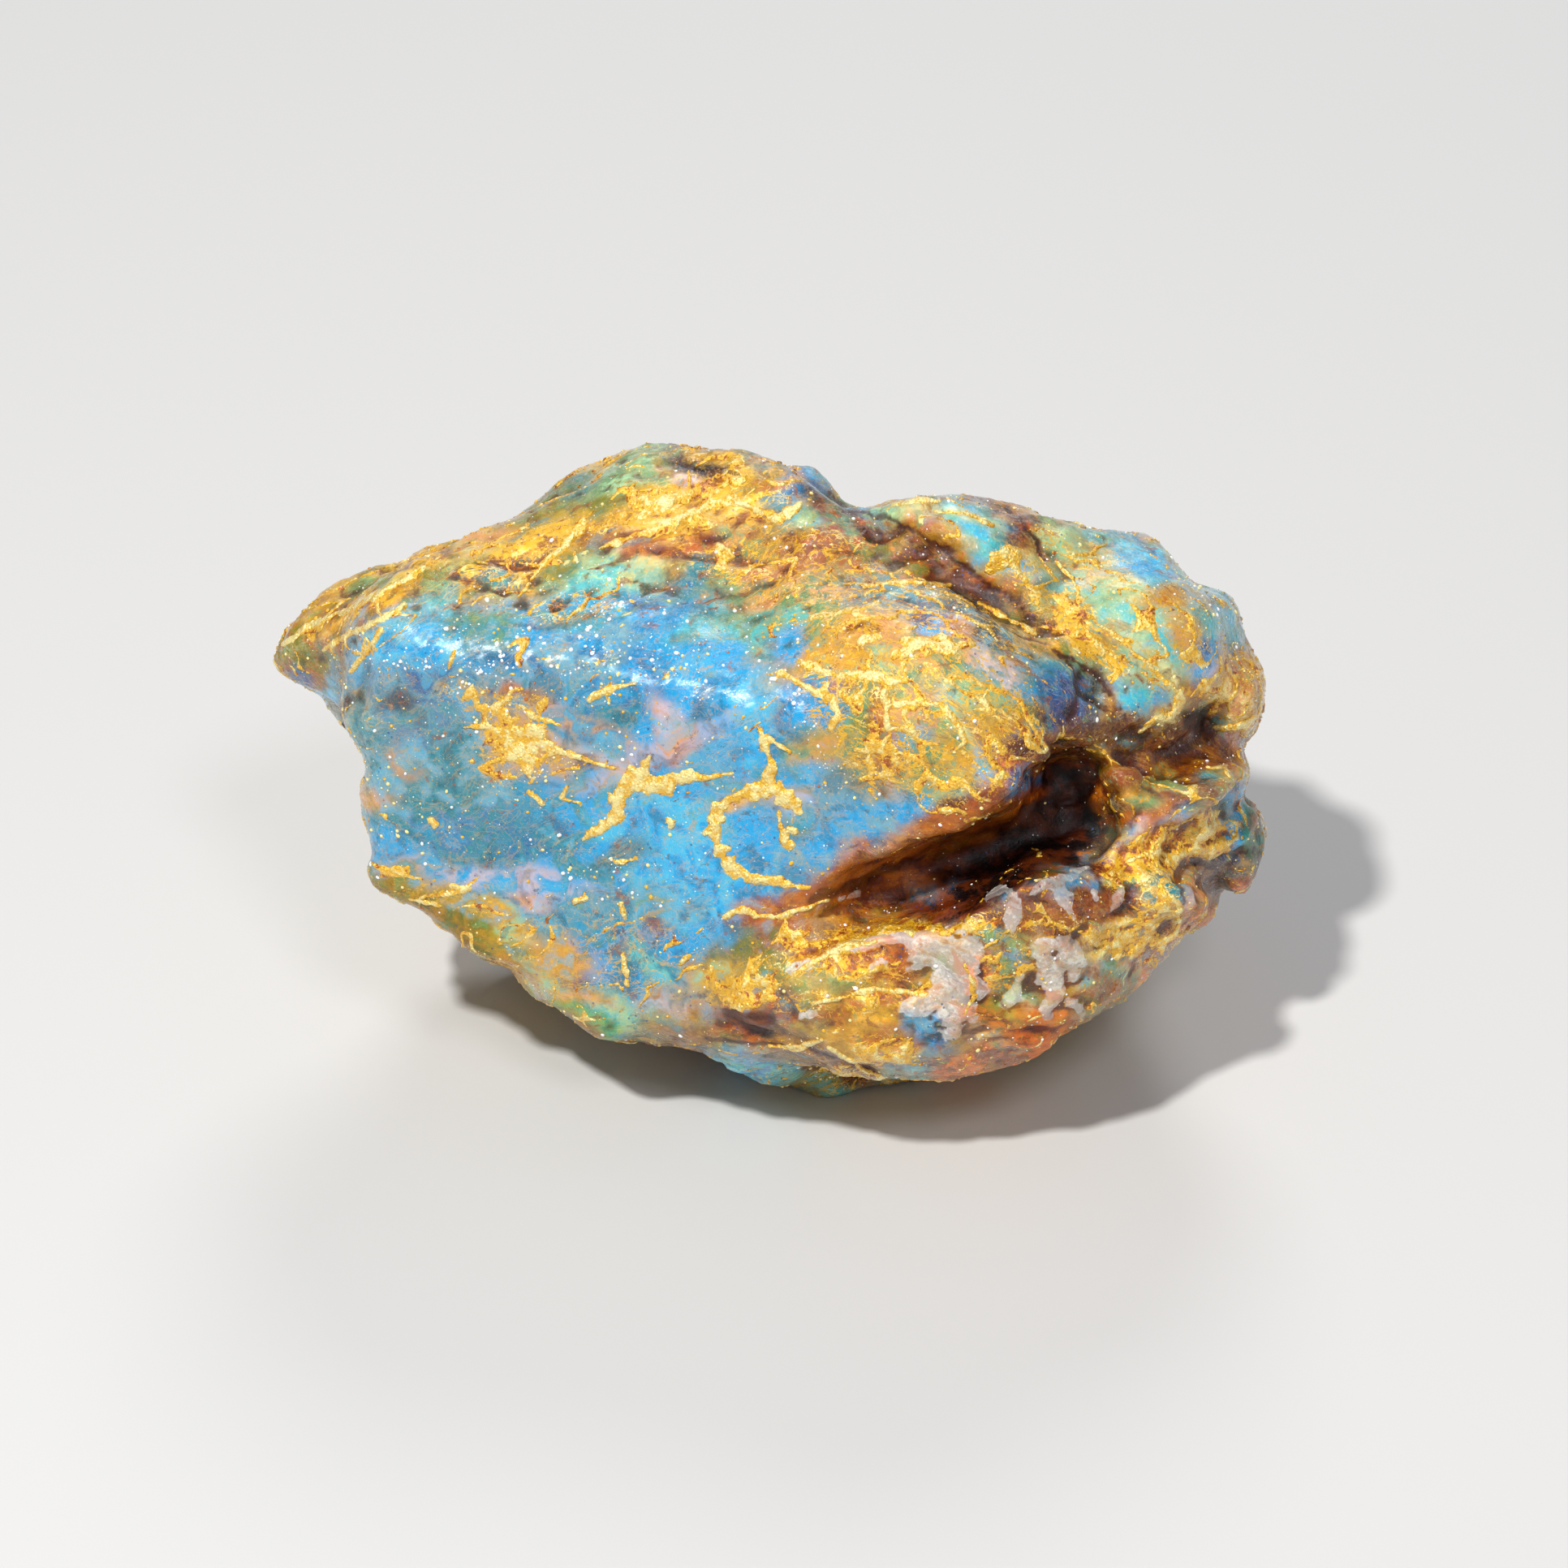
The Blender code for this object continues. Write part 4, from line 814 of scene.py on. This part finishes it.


# Clusters of white drops that stand in for glints (painted highlight): (across, down, radius, number of drops)
GLINT_DROPS = [
    (455, 808, 18, 10), (490, 812, 18, 12), (518, 815, 15, 9), (562, 826, 31, 26), (618, 828, 29, 22),
    (652, 791, 18, 9), (697, 804, 31, 17), (745, 740, 31, 17), (748, 790, 31, 20), (795, 812, 33, 13),
    (946, 826, 20, 9), (986, 857, 18, 8), (992, 898, 18, 9), (1023, 938, 20, 8), (1190, 893, 20, 6),
    (600, 780, 66, 26), (860, 800, 77, 20), (1100, 800, 99, 20), (1400, 800, 99, 20), (700, 740, 66, 20),
]


# the grains
def drop_seats(middle, normals, rng):
    """The triangles that the clusters of drops sit on."""
    x, y = picture_place(middle)
    seen = normals @ -AWAY > 0.25
    chosen = []
    for across, down, radius, number in GLINT_DROPS:
        near = np.flatnonzero(seen & (np.hypot(x - across, y - down) < radius))
        chosen.append(rng.choice(near, number))
    return np.concatenate(chosen)


def grains(places, triangles, marks, number):
    """Little beads that sit on the stone, thickest where it is smooth and along the ridge; the white and cream ones
    stand in for glints (painted highlight).
    """
    rng = np.random.default_rng(90)
    a, b, c = (places[triangles[:, k]] for k in range(3))
    normals = vertex_normals(places, triangles)
    middle = (a + b + c) / 3
    calm, dark = (marks[name][triangles].mean(axis=1) for name in ("calm", "fold"))
    ridge = step(70, 10, np.abs(picture_place(middle)[1] - 800)) * calm
    hole = marks["hole"][triangles].mean(axis=1)
    chance = np.linalg.norm(np.cross(b - a, c - a), axis=1) * (1 - dark) * (1 - 0.8 * hole) * (middle[:, 2] > 0.6)
    chance *= 0.15 + step(0.0, 0.5, fractal(middle, 3.0, 3, 0.6, 91)) * (0.6 + calm + 2.5 * ridge)
    drops = drop_seats(middle, normals[triangles[:, 0]], rng)
    chosen = np.concatenate([drops, rng.choice(len(triangles), number, p=chance / chance.sum())])
    number = len(chosen)
    mix = rng.dirichlet((1, 1, 1), number)
    seats = np.einsum("nk,nkj->nj", mix, places[triangles[chosen]])
    up = np.einsum("nk,nkj->nj", mix, normals[triangles[chosen]])
    up /= np.linalg.norm(up, axis=1)[:, None]
    side = np.cross(up, rng.normal(size=(number, 3)))
    side /= np.linalg.norm(side, axis=1)[:, None]
    other = np.cross(up, side)
    size = 0.035 + 0.075 * rng.random(number) ** 3
    size[: len(drops)] = 0.03 + 0.09 * rng.random(len(drops)) ** 3
    turn = np.arange(6) * math.pi / 3
    rings = [(1.0, -0.3), (0.85, 0.35), (0.0, 0.75)]
    corners = [(r * math.cos(w), r * math.sin(w), h) for r, h in rings[:2] for w in turn] + [(0, 0, rings[2][1])]
    corners = np.array(corners)
    faces = [(k, (k + 1) % 6, 6 + k) for k in range(6)] + [((k + 1) % 6, 6 + (k + 1) % 6, 6 + k) for k in range(6)]
    faces = np.array(faces + [(6 + k, 6 + (k + 1) % 6, 12) for k in range(6)])
    frames = np.stack([side * rng.uniform(0.7, 1.4, (number, 1)), other, up], axis=1)
    points = seats[:, None] + size[:, None, None] * np.einsum("ck,nkj->ncj", corners, frames)
    flat = faces[None] + (np.arange(number) * len(corners))[:, None, None]
    # white and cream beads are painted glints, gold and amber ones are tiny grains; every drop is white
    kinds = np.array([PALETTE["cream"][:3], (0.95, 0.95, 0.93), PALETTE["gold"][:3], PALETTE["amber"][:3]])
    kind = rng.choice(4, number, p=[0.48, 0.28, 0.20, 0.04])
    kind[: len(drops)] = 1
    picked = kinds[kind].repeat(len(corners), axis=0)
    return points.reshape(-1, 3), flat.reshape(-1, 3), {"grain_and_glint_colour": list(picked.T)}


# materials
class Shader:
    """Adds nodes to one material's tree, each given as values or as other nodes' sockets."""

    def __init__(self, name):
        self.material = bpy.data.materials.new(name)
        self.material.use_nodes = True
        self.tree = self.material.node_tree
        self.main = self.tree.nodes["Principled BSDF"]
        coordinates = self.tree.nodes.new("ShaderNodeTexCoord").outputs["Object"]
        self.place = self.add("ShaderNodeVectorMath", {0: coordinates, "Scale": 1 / MM}, operation="SCALE").outputs[0]

    def put(self, socket, value):
        if isinstance(value, bpy.types.NodeSocket):
            self.tree.links.new(value, socket)
        else:
            socket.default_value = value

    def add(self, kind, values, **settings):
        node = self.tree.nodes.new(kind)
        for key, value in settings.items():
            setattr(node, key, value)
        for key, value in values.items():
            self.put(node.inputs[key], value)
        return node

    def calc(self, operation, a, b=0.0, clamp=False):
        return self.add("ShaderNodeMath", {0: a, 1: b}, operation=operation, use_clamp=clamp).outputs[0]

    def times(self, *values):
        total = values[0]
        for value in values[1:]:
            total = self.calc("MULTIPLY", total, value)
        return total

    def plus(self, *values):
        total = values[0]
        for value in values[1:]:
            total = self.calc("ADD", total, value)
        return total

    def mix(self, share, a, b, blend="MIX"):
        values = {0: share, 6: a, 7: b}
        return self.add("ShaderNodeMix", values, data_type="RGBA", blend_type=blend).outputs[2]

    def ramp(self, value, low, high, to_low=0.0, to_high=1.0):
        values = {"Value": value, "From Min": low, "From Max": high, "To Min": to_low, "To Max": to_high}
        return self.add("ShaderNodeMapRange", values, interpolation_type="SMOOTHSTEP").outputs[0]

    def clouds(self, scale, detail=4.0, roughness=0.55, distortion=0.0, place=None):
        values = {
            "Vector": place or self.place, "Scale": scale, "Detail": detail,
            "Roughness": roughness, "Distortion": distortion,
        }
        return self.add("ShaderNodeTexNoise", values).outputs["Fac"]

    def shifted(self, reach):
        """The place to take a second, unrelated noise at."""
        return self.add("ShaderNodeVectorMath", {0: self.place, 1: (reach,) * 3}, operation="ADD").outputs[0]

    def along(self, angle, stretch, reach=0.0):
        """The place drawn out along a direction of the picture."""
        a = math.radians(angle)
        run = Vector(math.cos(a) * RIGHT + math.sin(a) * UP)
        values = {
            "Vector": self.shifted(reach), "Rotation": run.to_track_quat("X", "Z").to_euler(),
            "Scale": (stretch, 1, 1),
        }
        return self.add("ShaderNodeMapping", values, vector_type="TEXTURE").outputs[0]

    def streaks(self, scale, detail=4.0, roughness=0.6, distortion=0.5, reach=0.0):
        """A noise that runs up to the right on the left of the stone and down to the right on its right."""
        left = self.clouds(scale, detail, roughness, distortion, self.along(24, 2.6, reach))
        right = self.clouds(scale, detail, roughness, distortion, self.along(-28, 2.2, reach))
        across = self.add("ShaderNodeSeparateXYZ", {0: self.place}).outputs[0]
        return self.add("ShaderNodeMix", {0: self.ramp(across, 0, 5), 2: left, 3: right}, data_type="FLOAT").outputs[0]

    def spectrum(self, value, stops):
        """A colour for each value, by (value, colour) stops."""
        node = self.add("ShaderNodeValToRGB", {0: value})
        ramp = node.color_ramp
        ramp.elements[0].position, ramp.elements[0].color = stops[0]
        ramp.elements[1].position, ramp.elements[1].color = stops[-1]
        for position, colour in stops[1:-1]:
            ramp.elements.new(position).color = colour
        return node.outputs[0]

    def lines(self, value, half_width):
        """1 on the thin lines where a noise passes its middle."""
        return self.ramp(self.calc("ABSOLUTE", self.calc("SUBTRACT", value, 0.5)), half_width, 0.2 * half_width)

    def cells(self, scale, feature="F1", output="Distance"):
        return self.add("ShaderNodeTexVoronoi", {"Vector": self.place, "Scale": scale}, feature=feature).outputs[output]

    def colour_of(self, name):
        return self.add("ShaderNodeAttribute", {}, attribute_name=name).outputs["Color"]

    def channels(self, name):
        return self.add("ShaderNodeSeparateColor", {"Color": self.colour_of(name)}).outputs[:3]


def tone(name):
    return PALETTE[name]


def stone_material():
    s = Shader("blue_amber_stone")
    first, second = s.colour_of("ground_first"), s.colour_of("ground_second")
    gold, calm, film_and_reflection = s.channels("marks_gold_calm_film_and_reflection")
    fold, hollow, pits = s.channels("marks_fold_hollow_pits")
    glow, crest, hole = s.channels("marks_glow_crest_hole")
    rough = s.calc("SUBTRACT", 1.0, calm)
    open_skin = s.calc("SUBTRACT", rough, hole, True)
    broad = s.streaks(0.42, 5, 0.60, 1.0)
    middle = s.streaks(1.5, 5, 0.64, 0.7, 3.3)
    other = s.clouds(1.3, 5, 0.66, 0.6, s.shifted(7.7))
    fine = s.clouds(6.0, 4, 0.66)
    # the ground's two colours, marbled, then mottled light and dark
    marble = s.plus(s.times(broad, 0.55), s.times(other, 0.45))
    sharp = s.mix(s.ramp(s.plus(marble, s.times(s.calc("SUBTRACT", fine, 0.5), 0.16)), 0.45, 0.55), first, second)
    soft = s.clouds(0.75, 4, 0.5, 0.8, s.shifted(5.5))
    colour = s.mix(s.times(calm, 0.9), sharp, s.mix(s.ramp(s.plus(soft, s.times(other, 0.25)), 0.56, 0.70), first, second))
    shade = s.spectrum(other, [(0.28, (0.50, 0.46, 0.44, 1)), (0.46, (0.95, 0.95, 0.95, 1)), (0.66, (1.25, 1.25, 1.25, 1))])
    colour = s.mix(s.ramp(rough, 0, 1, 0.15, 0.75), colour, shade, "MULTIPLY")
    # small zones of other colours on the rough skin
    for low, high, source, name, share in (
        (0.58, 0.63, middle, "bronze", 0.7), (0.65, 0.70, middle, "brown", 0.8),
        (0.41, 0.36, middle, "sage", 0.6), (0.33, 0.29, middle, "cream", 0.7),
        (0.62, 0.68, broad, "teal", 0.5), (0.36, 0.30, broad, "honey", 0.6),
    ):
        colour = s.mix(s.times(s.ramp(source, low, high), open_skin, share), colour, tone(name))
    # pale and deep clouds within the blue
    colour = s.mix(s.times(s.ramp(soft, 0.54, 0.66), calm, 0.45), colour, tone("pale azure"))
    colour = s.mix(s.times(s.ramp(soft, 0.46, 0.34), calm, 0.45), colour, tone("dark teal"))
    colour = s.mix(s.times(s.ramp(s.plus(broad, s.times(soft, 0.4)), 0.76, 0.88), calm, 0.4), colour, tone("slate"))
    # smudges, dust and dark flecks on the blue
    smudge = s.times(s.ramp(s.plus(middle, s.times(fine, 0.35), s.times(soft, 0.6)), 1.11, 1.20), calm)
    colour = s.mix(s.times(smudge, 0.55), colour, s.mix(s.ramp(broad, 0.46, 0.54), tone("honey"), tone("sage")))
    fleck = s.times(s.ramp(s.plus(other, s.times(fine, 0.6), s.times(soft, -0.5)), 0.69, 0.75), calm)
    colour = s.mix(s.times(fleck, 0.6), colour, s.mix(s.ramp(broad, 0.46, 0.54), tone("smoke"), tone("rust")))
    crack = s.times(s.lines(s.clouds(0.8, 5, 0.6, 0.8, s.shifted(8.8)), 0.007), s.ramp(broad, 0.50, 0.58), calm)
    colour = s.mix(s.times(crack, 0.6), colour, tone("dark teal"))
    # streaks on the walls of the cavity
    wall = s.clouds(1.5, 5, 0.62, 0.4, s.along(20, 4.5, 2.2))
    slope = s.times(s.ramp(hole, 0.25, 0.5), s.ramp(hole, 0.95, 0.75))
    colour = s.mix(s.times(s.ramp(wall, 0.49, 0.64), slope, 0.85), colour, tone("amber"))
    colour = s.mix(s.times(s.ramp(wall, 0.46, 0.36), slope, 0.7), colour, tone("brown"))
    # painted shade: darker in the hollows, brown and near black along the folds; brown in the pits
    sunk_shade = s.ramp(s.plus(hollow, s.times(s.calc("SUBTRACT", fine, 0.5), 0.5)), 0.56, 0.88)
    colour = s.mix(s.times(sunk_shade, s.ramp(rough, 0, 1, 0.3, 0.9)), colour, (0.42, 0.26, 0.14, 1), "MULTIPLY")
    colour = s.mix(s.times(s.ramp(s.plus(fold, s.times(other, 0.9)), 0.75, 1.40), 0.75), colour, tone("brown"))
    colour = s.mix(s.times(s.ramp(s.plus(fold, s.times(middle, 0.8)), 1.2, 1.7), 0.4), colour, tone("dark"))
    colour = s.mix(s.times(pits, 0.55), colour, tone("brown"))
    # painted light and shade: the crests of the rough skin lighter, the dips between them darker
    high = s.plus(crest, s.times(s.calc("SUBTRACT", fine, 0.5), 0.5))
    colour = s.mix(s.times(s.ramp(high, 0.60, 0.90), open_skin, 0.8), colour, (1.35, 1.28, 1.15, 1), "MULTIPLY")
    colour = s.mix(s.times(s.ramp(high, 0.44, 0.14), open_skin, 0.8), colour, (0.52, 0.34, 0.20, 1), "MULTIPLY")
    # painted glow: the thin edges tinted bright orange as if lit through; they also let some light through
    colour = s.mix(s.times(s.ramp(glow, 0.35, 0.9), 0.85), colour, (1.28, 1.12, 0.12, 1), "MULTIPLY")
    # the film of pale resin, raised and glossy, with a pale lilac-white veil painted as a reflection in it
    pale_film_and_reflection = s.ramp(s.plus(film_and_reflection, s.times(s.calc("SUBTRACT", other, 0.5), 0.6), s.times(fine, 0.2)), 0.50, 0.62)
    reflection_veil = s.mix(s.ramp(s.plus(other, s.times(fine, 0.5)), 0.66, 0.86), (0.52, 0.48, 0.45, 1), (0.94, 0.90, 0.82, 1))
    colour = s.mix(s.times(pale_film_and_reflection, s.ramp(s.plus(other, middle), 0.90, 1.12, 0.78, 0.25)), colour, reflection_veil)
    # gold too thin to stand up: leaf, threads and dust
    web = s.lines(s.streaks(1.0, 4, 0.62, 0.9, 5.1), 0.022)
    thread = s.lines(s.clouds(2.1, 4, 0.62, 0.8, s.shifted(1.9)), 0.02)
    drift = s.plus(gold, s.times(s.calc("SUBTRACT", middle, 0.5), 1.9), s.times(s.calc("SUBTRACT", fine, 0.5), 0.9))
    leaf = s.ramp(drift, 0.72, 0.78)
    lines = s.times(s.calc("MAXIMUM", web, s.times(thread, 0.8)), s.ramp(gold, 0.08, 0.34, 0.22, 1.0))
    dust = s.times(s.ramp(s.cells(5.0), 0.20, 0.12), s.ramp(s.clouds(1.3, 3), 0.50, 0.60))
    metal = s.calc("MAXIMUM", s.calc("MAXIMUM", leaf, lines), s.times(dust, 0.9))
    metal = s.times(metal, s.calc("SUBTRACT", 1.0, s.times(pale_film_and_reflection, 0.8)), s.ramp(s.plus(fold, hole), 0.9, 0.5))
    # the gold's colour runs from bronze to cream by noise, and is paler on crests as painted highlight
    shine = s.spectrum(s.plus(s.times(fine, 0.35), s.times(other, 0.35), s.times(crest, 0.3)), [
        (0.32, tone("bronze")), (0.40, tone("amber")), (0.47, tone("gold")), (0.55, tone("gold")), (0.64, tone("cream")),
    ])
    colour = s.mix(metal, colour, shine)
    # dark grains, and white dots painted as glints
    grains = s.times(s.ramp(s.cells(2.6), 0.20, 0.10), s.ramp(s.clouds(0.9, 2), 0.52, 0.62))
    colour = s.mix(s.times(grains, 0.7), colour, tone("indigo"))
    painted_glints = s.times(s.ramp(s.cells(3.6), 0.14, 0.08), s.ramp(s.clouds(1.0, 3, place=s.shifted(4.2)), 0.50, 0.58))
    colour = s.mix(s.times(painted_glints, 0.9), colour, (1, 0.97, 0.9, 1))
    s.put(s.main.inputs["Base Color"], colour)
    s.put(s.main.inputs["Metallic"], s.times(metal, 0.35))
    s.put(s.main.inputs["Roughness"], s.ramp(s.plus(fine, s.times(calm, -0.2)), 0.2, 0.7, 0.22, 0.50))
    grit = s.times(fine, s.ramp(rough, 0, 1, 0.12, 0.5), s.ramp(film_and_reflection, 0.3, 0.7, 1.0, 0.3))
    height = s.plus(s.times(middle, 0.3), grit)
    bump = s.add("ShaderNodeBump", {"Strength": 0.8, "Distance": 0.12 * MM, "Height": height})
    s.put(s.main.inputs["Normal"], bump.outputs[0])
    wet = s.plus(s.times(other, 0.8), s.times(s.ramp(s.cells(2.4), 0.45, 0.0), 0.35), s.times(fine, 0.06))
    skin = s.add("ShaderNodeBump", {"Strength": 1.0, "Distance": 0.30 * MM, "Height": wet})
    s.put(s.main.inputs["Coat Normal"], skin.outputs[0])
    s.put(s.main.inputs["IOR"], 1.54)
    s.put(s.main.inputs["Specular IOR Level"], 0.3)
    s.put(s.main.inputs["Coat Weight"], s.times(s.ramp(hole, 0.3, 0.9, 1.0, 0.15), s.ramp(glow, 0.3, 0.9, 1.0, 0.15)))
    s.put(s.main.inputs["Coat Roughness"], 0.05)
    s.put(s.main.inputs["Subsurface Weight"], 0.15)
    s.put(s.main.inputs["Subsurface Radius"], (1.0, 0.7, 0.6))
    s.put(s.main.inputs["Subsurface Scale"], 0.7 * MM)
    s.put(s.main.inputs["Transmission Weight"], s.times(s.ramp(glow, 0.2, 0.9), 0.35))
    return s.material


def grain_material():
    s = Shader("grains")
    s.put(s.main.inputs["Base Color"], s.colour_of("grain_and_glint_colour"))
    s.put(s.main.inputs["Roughness"], 0.12)
    s.put(s.main.inputs["IOR"], 1.54)
    s.put(s.main.inputs["Coat Weight"], 1.0)
    s.put(s.main.inputs["Coat Roughness"], 0.03)
    return s.material


def crust_material():
    s = Shader("gold_crust")
    field, pale, deep = s.channels("crust_tone")
    crest = s.channels("crust_crest")[0]
    middle = s.clouds(2.2, 5, 0.62, 0.4)
    fine = s.clouds(8, 3, 0.6)
    height = s.plus(s.times(middle, 0.7), s.times(fine, 0.3))
    # painted light and shade: the crust paler where its bump rises and on its crests, darker in the hollows and along
    # the folds
    value = s.plus(s.times(pale, 0.32), s.times(s.ramp(height, 0.34, 0.66), 0.48), s.times(crest, 0.16), -0.06)
    value = s.plus(value, s.ramp(field, 0, 0.15, -0.08, 0.04), s.times(deep, -0.12))
    colour = s.spectrum(value, [
        (0.06, tone("rust")), (0.15, tone("bronze")), (0.23, tone("amber")), (0.31, tone("gold")), (0.46, tone("gold")),
        (0.66, tone("cream")),
    ])
    s.put(s.main.inputs["Base Color"], colour)
    s.put(s.main.inputs["Metallic"], 0.32)
    s.put(s.main.inputs["Roughness"], s.ramp(fine, 0.3, 0.7, 0.18, 0.40))
    relief = s.plus(s.times(height, 1.4), s.times(s.ramp(s.cells(6), 0.6, 0.0), 0.25))
    bump = s.add("ShaderNodeBump", {"Strength": 1.0, "Distance": 0.13 * MM, "Height": relief})
    s.put(s.main.inputs["Normal"], bump.outputs[0])
    s.put(s.main.inputs["Coat Normal"], bump.outputs[0])
    s.put(s.main.inputs["IOR"], 1.54)
    s.put(s.main.inputs["Coat Weight"], 1.0)
    s.put(s.main.inputs["Coat Roughness"], 0.06)
    return s.material


# the studio
def plain_material(name, colour, roughness):
    material = bpy.data.materials.new(name)
    material.use_nodes = True
    shader = material.node_tree.nodes["Principled BSDF"]
    shader.inputs["Base Color"].default_value = colour
    shader.inputs["Roughness"].default_value = roughness
    return material


def set_floor():
    mesh = bpy.data.meshes.new("floor")
    half = 1.5
    mesh.from_pydata([(-half, -half, 0), (half, -half, 0), (half, half, 0), (-half, half, 0)], [], [(0, 1, 2, 3)])
    mesh.materials.append(plain_material("floor", (0.66, 0.66, 0.65, 1), 0.7))
    floor = bpy.data.objects.new("floor", mesh)
    bpy.context.scene.collection.objects.link(floor)


def set_lamp(name, place, size, power, colour=(1, 1, 1)):
    lamp = bpy.data.lights.new(name, "AREA")
    lamp.shape = "DISK"
    lamp.size, lamp.energy, lamp.color = size, power, colour
    holder = bpy.data.objects.new(name, lamp)
    holder.location = place
    aim = Vector(CENTRE * MM) - Vector(place)
    holder.rotation_euler = aim.to_track_quat("-Z", "Y").to_euler()
    bpy.context.scene.collection.objects.link(holder)


def set_studio():
    scene = bpy.context.scene
    scene.world = bpy.data.worlds.new("studio")
    scene.world.use_nodes = True
    sky = scene.world.node_tree.nodes["Background"].inputs
    sky["Color"].default_value = (0.90, 0.93, 1.0, 1)
    sky["Strength"].default_value = 0.24
    scene.view_settings.view_transform = "Standard"
    set_lamp("key", (-0.14, -0.22, 0.42), 0.032, 2.1, (1.0, 0.98, 0.95))
    set_lamp("soft", (0.12, -0.30, 0.42), 0.12, 0.5, (0.94, 0.92, 1.0))
    set_lamp("back", (0.05, 0.40, 0.34), 0.20, 0.8)


def set_camera():
    camera = bpy.data.cameras.new("camera")
    camera.lens, camera.sensor_width = LENS, SENSOR
    camera.clip_start = 0.01
    holder = bpy.data.objects.new("camera", camera)
    holder.location = EYE * MM
    holder.rotation_euler = Vector(AWAY).to_track_quat("-Z", "Y").to_euler()
    bpy.context.scene.collection.objects.link(holder)
    bpy.context.scene.camera = holder


def main():
    places, triangles = even_skin(NODE, STONE_GRAIN)
    places, first, second, marks, shown = sculpt(places, triangles)
    colours = {
        "ground_first": list(first.T),
        "ground_second": list(second.T),
        "marks_gold_calm_film_and_reflection": [marks[n] for n in ("gold", "calm", "film_and_reflection")],
        "marks_fold_hollow_pits": [marks[n] for n in ("fold", "hollow", "pits")],
        "marks_glow_crest_hole": [marks[n] for n in ("glow", "crest", "hole")],
    }
    stone = new_piece("amber_stone", places, triangles, colours)
    stone.data.materials.append(stone_material())
    shell, shell_triangles, shell_colours = crust(places, triangles, marks, shown)
    pieces = [stone, *crust_pieces(shell, shell_triangles, shell_colours)]
    beads, bead_triangles, bead_colours = grains(places, triangles, marks, 3400)
    dust = new_piece("grains", beads, bead_triangles, bead_colours)
    dust.data.materials.append(grain_material())
    for piece in (*pieces, dust):
        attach(piece, "root")
        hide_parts("blue_amber")
    print("triangles:", [len(piece.data.polygons) for piece in (*pieces, dust)])
    set_floor()
    set_studio()
    set_camera()


main()
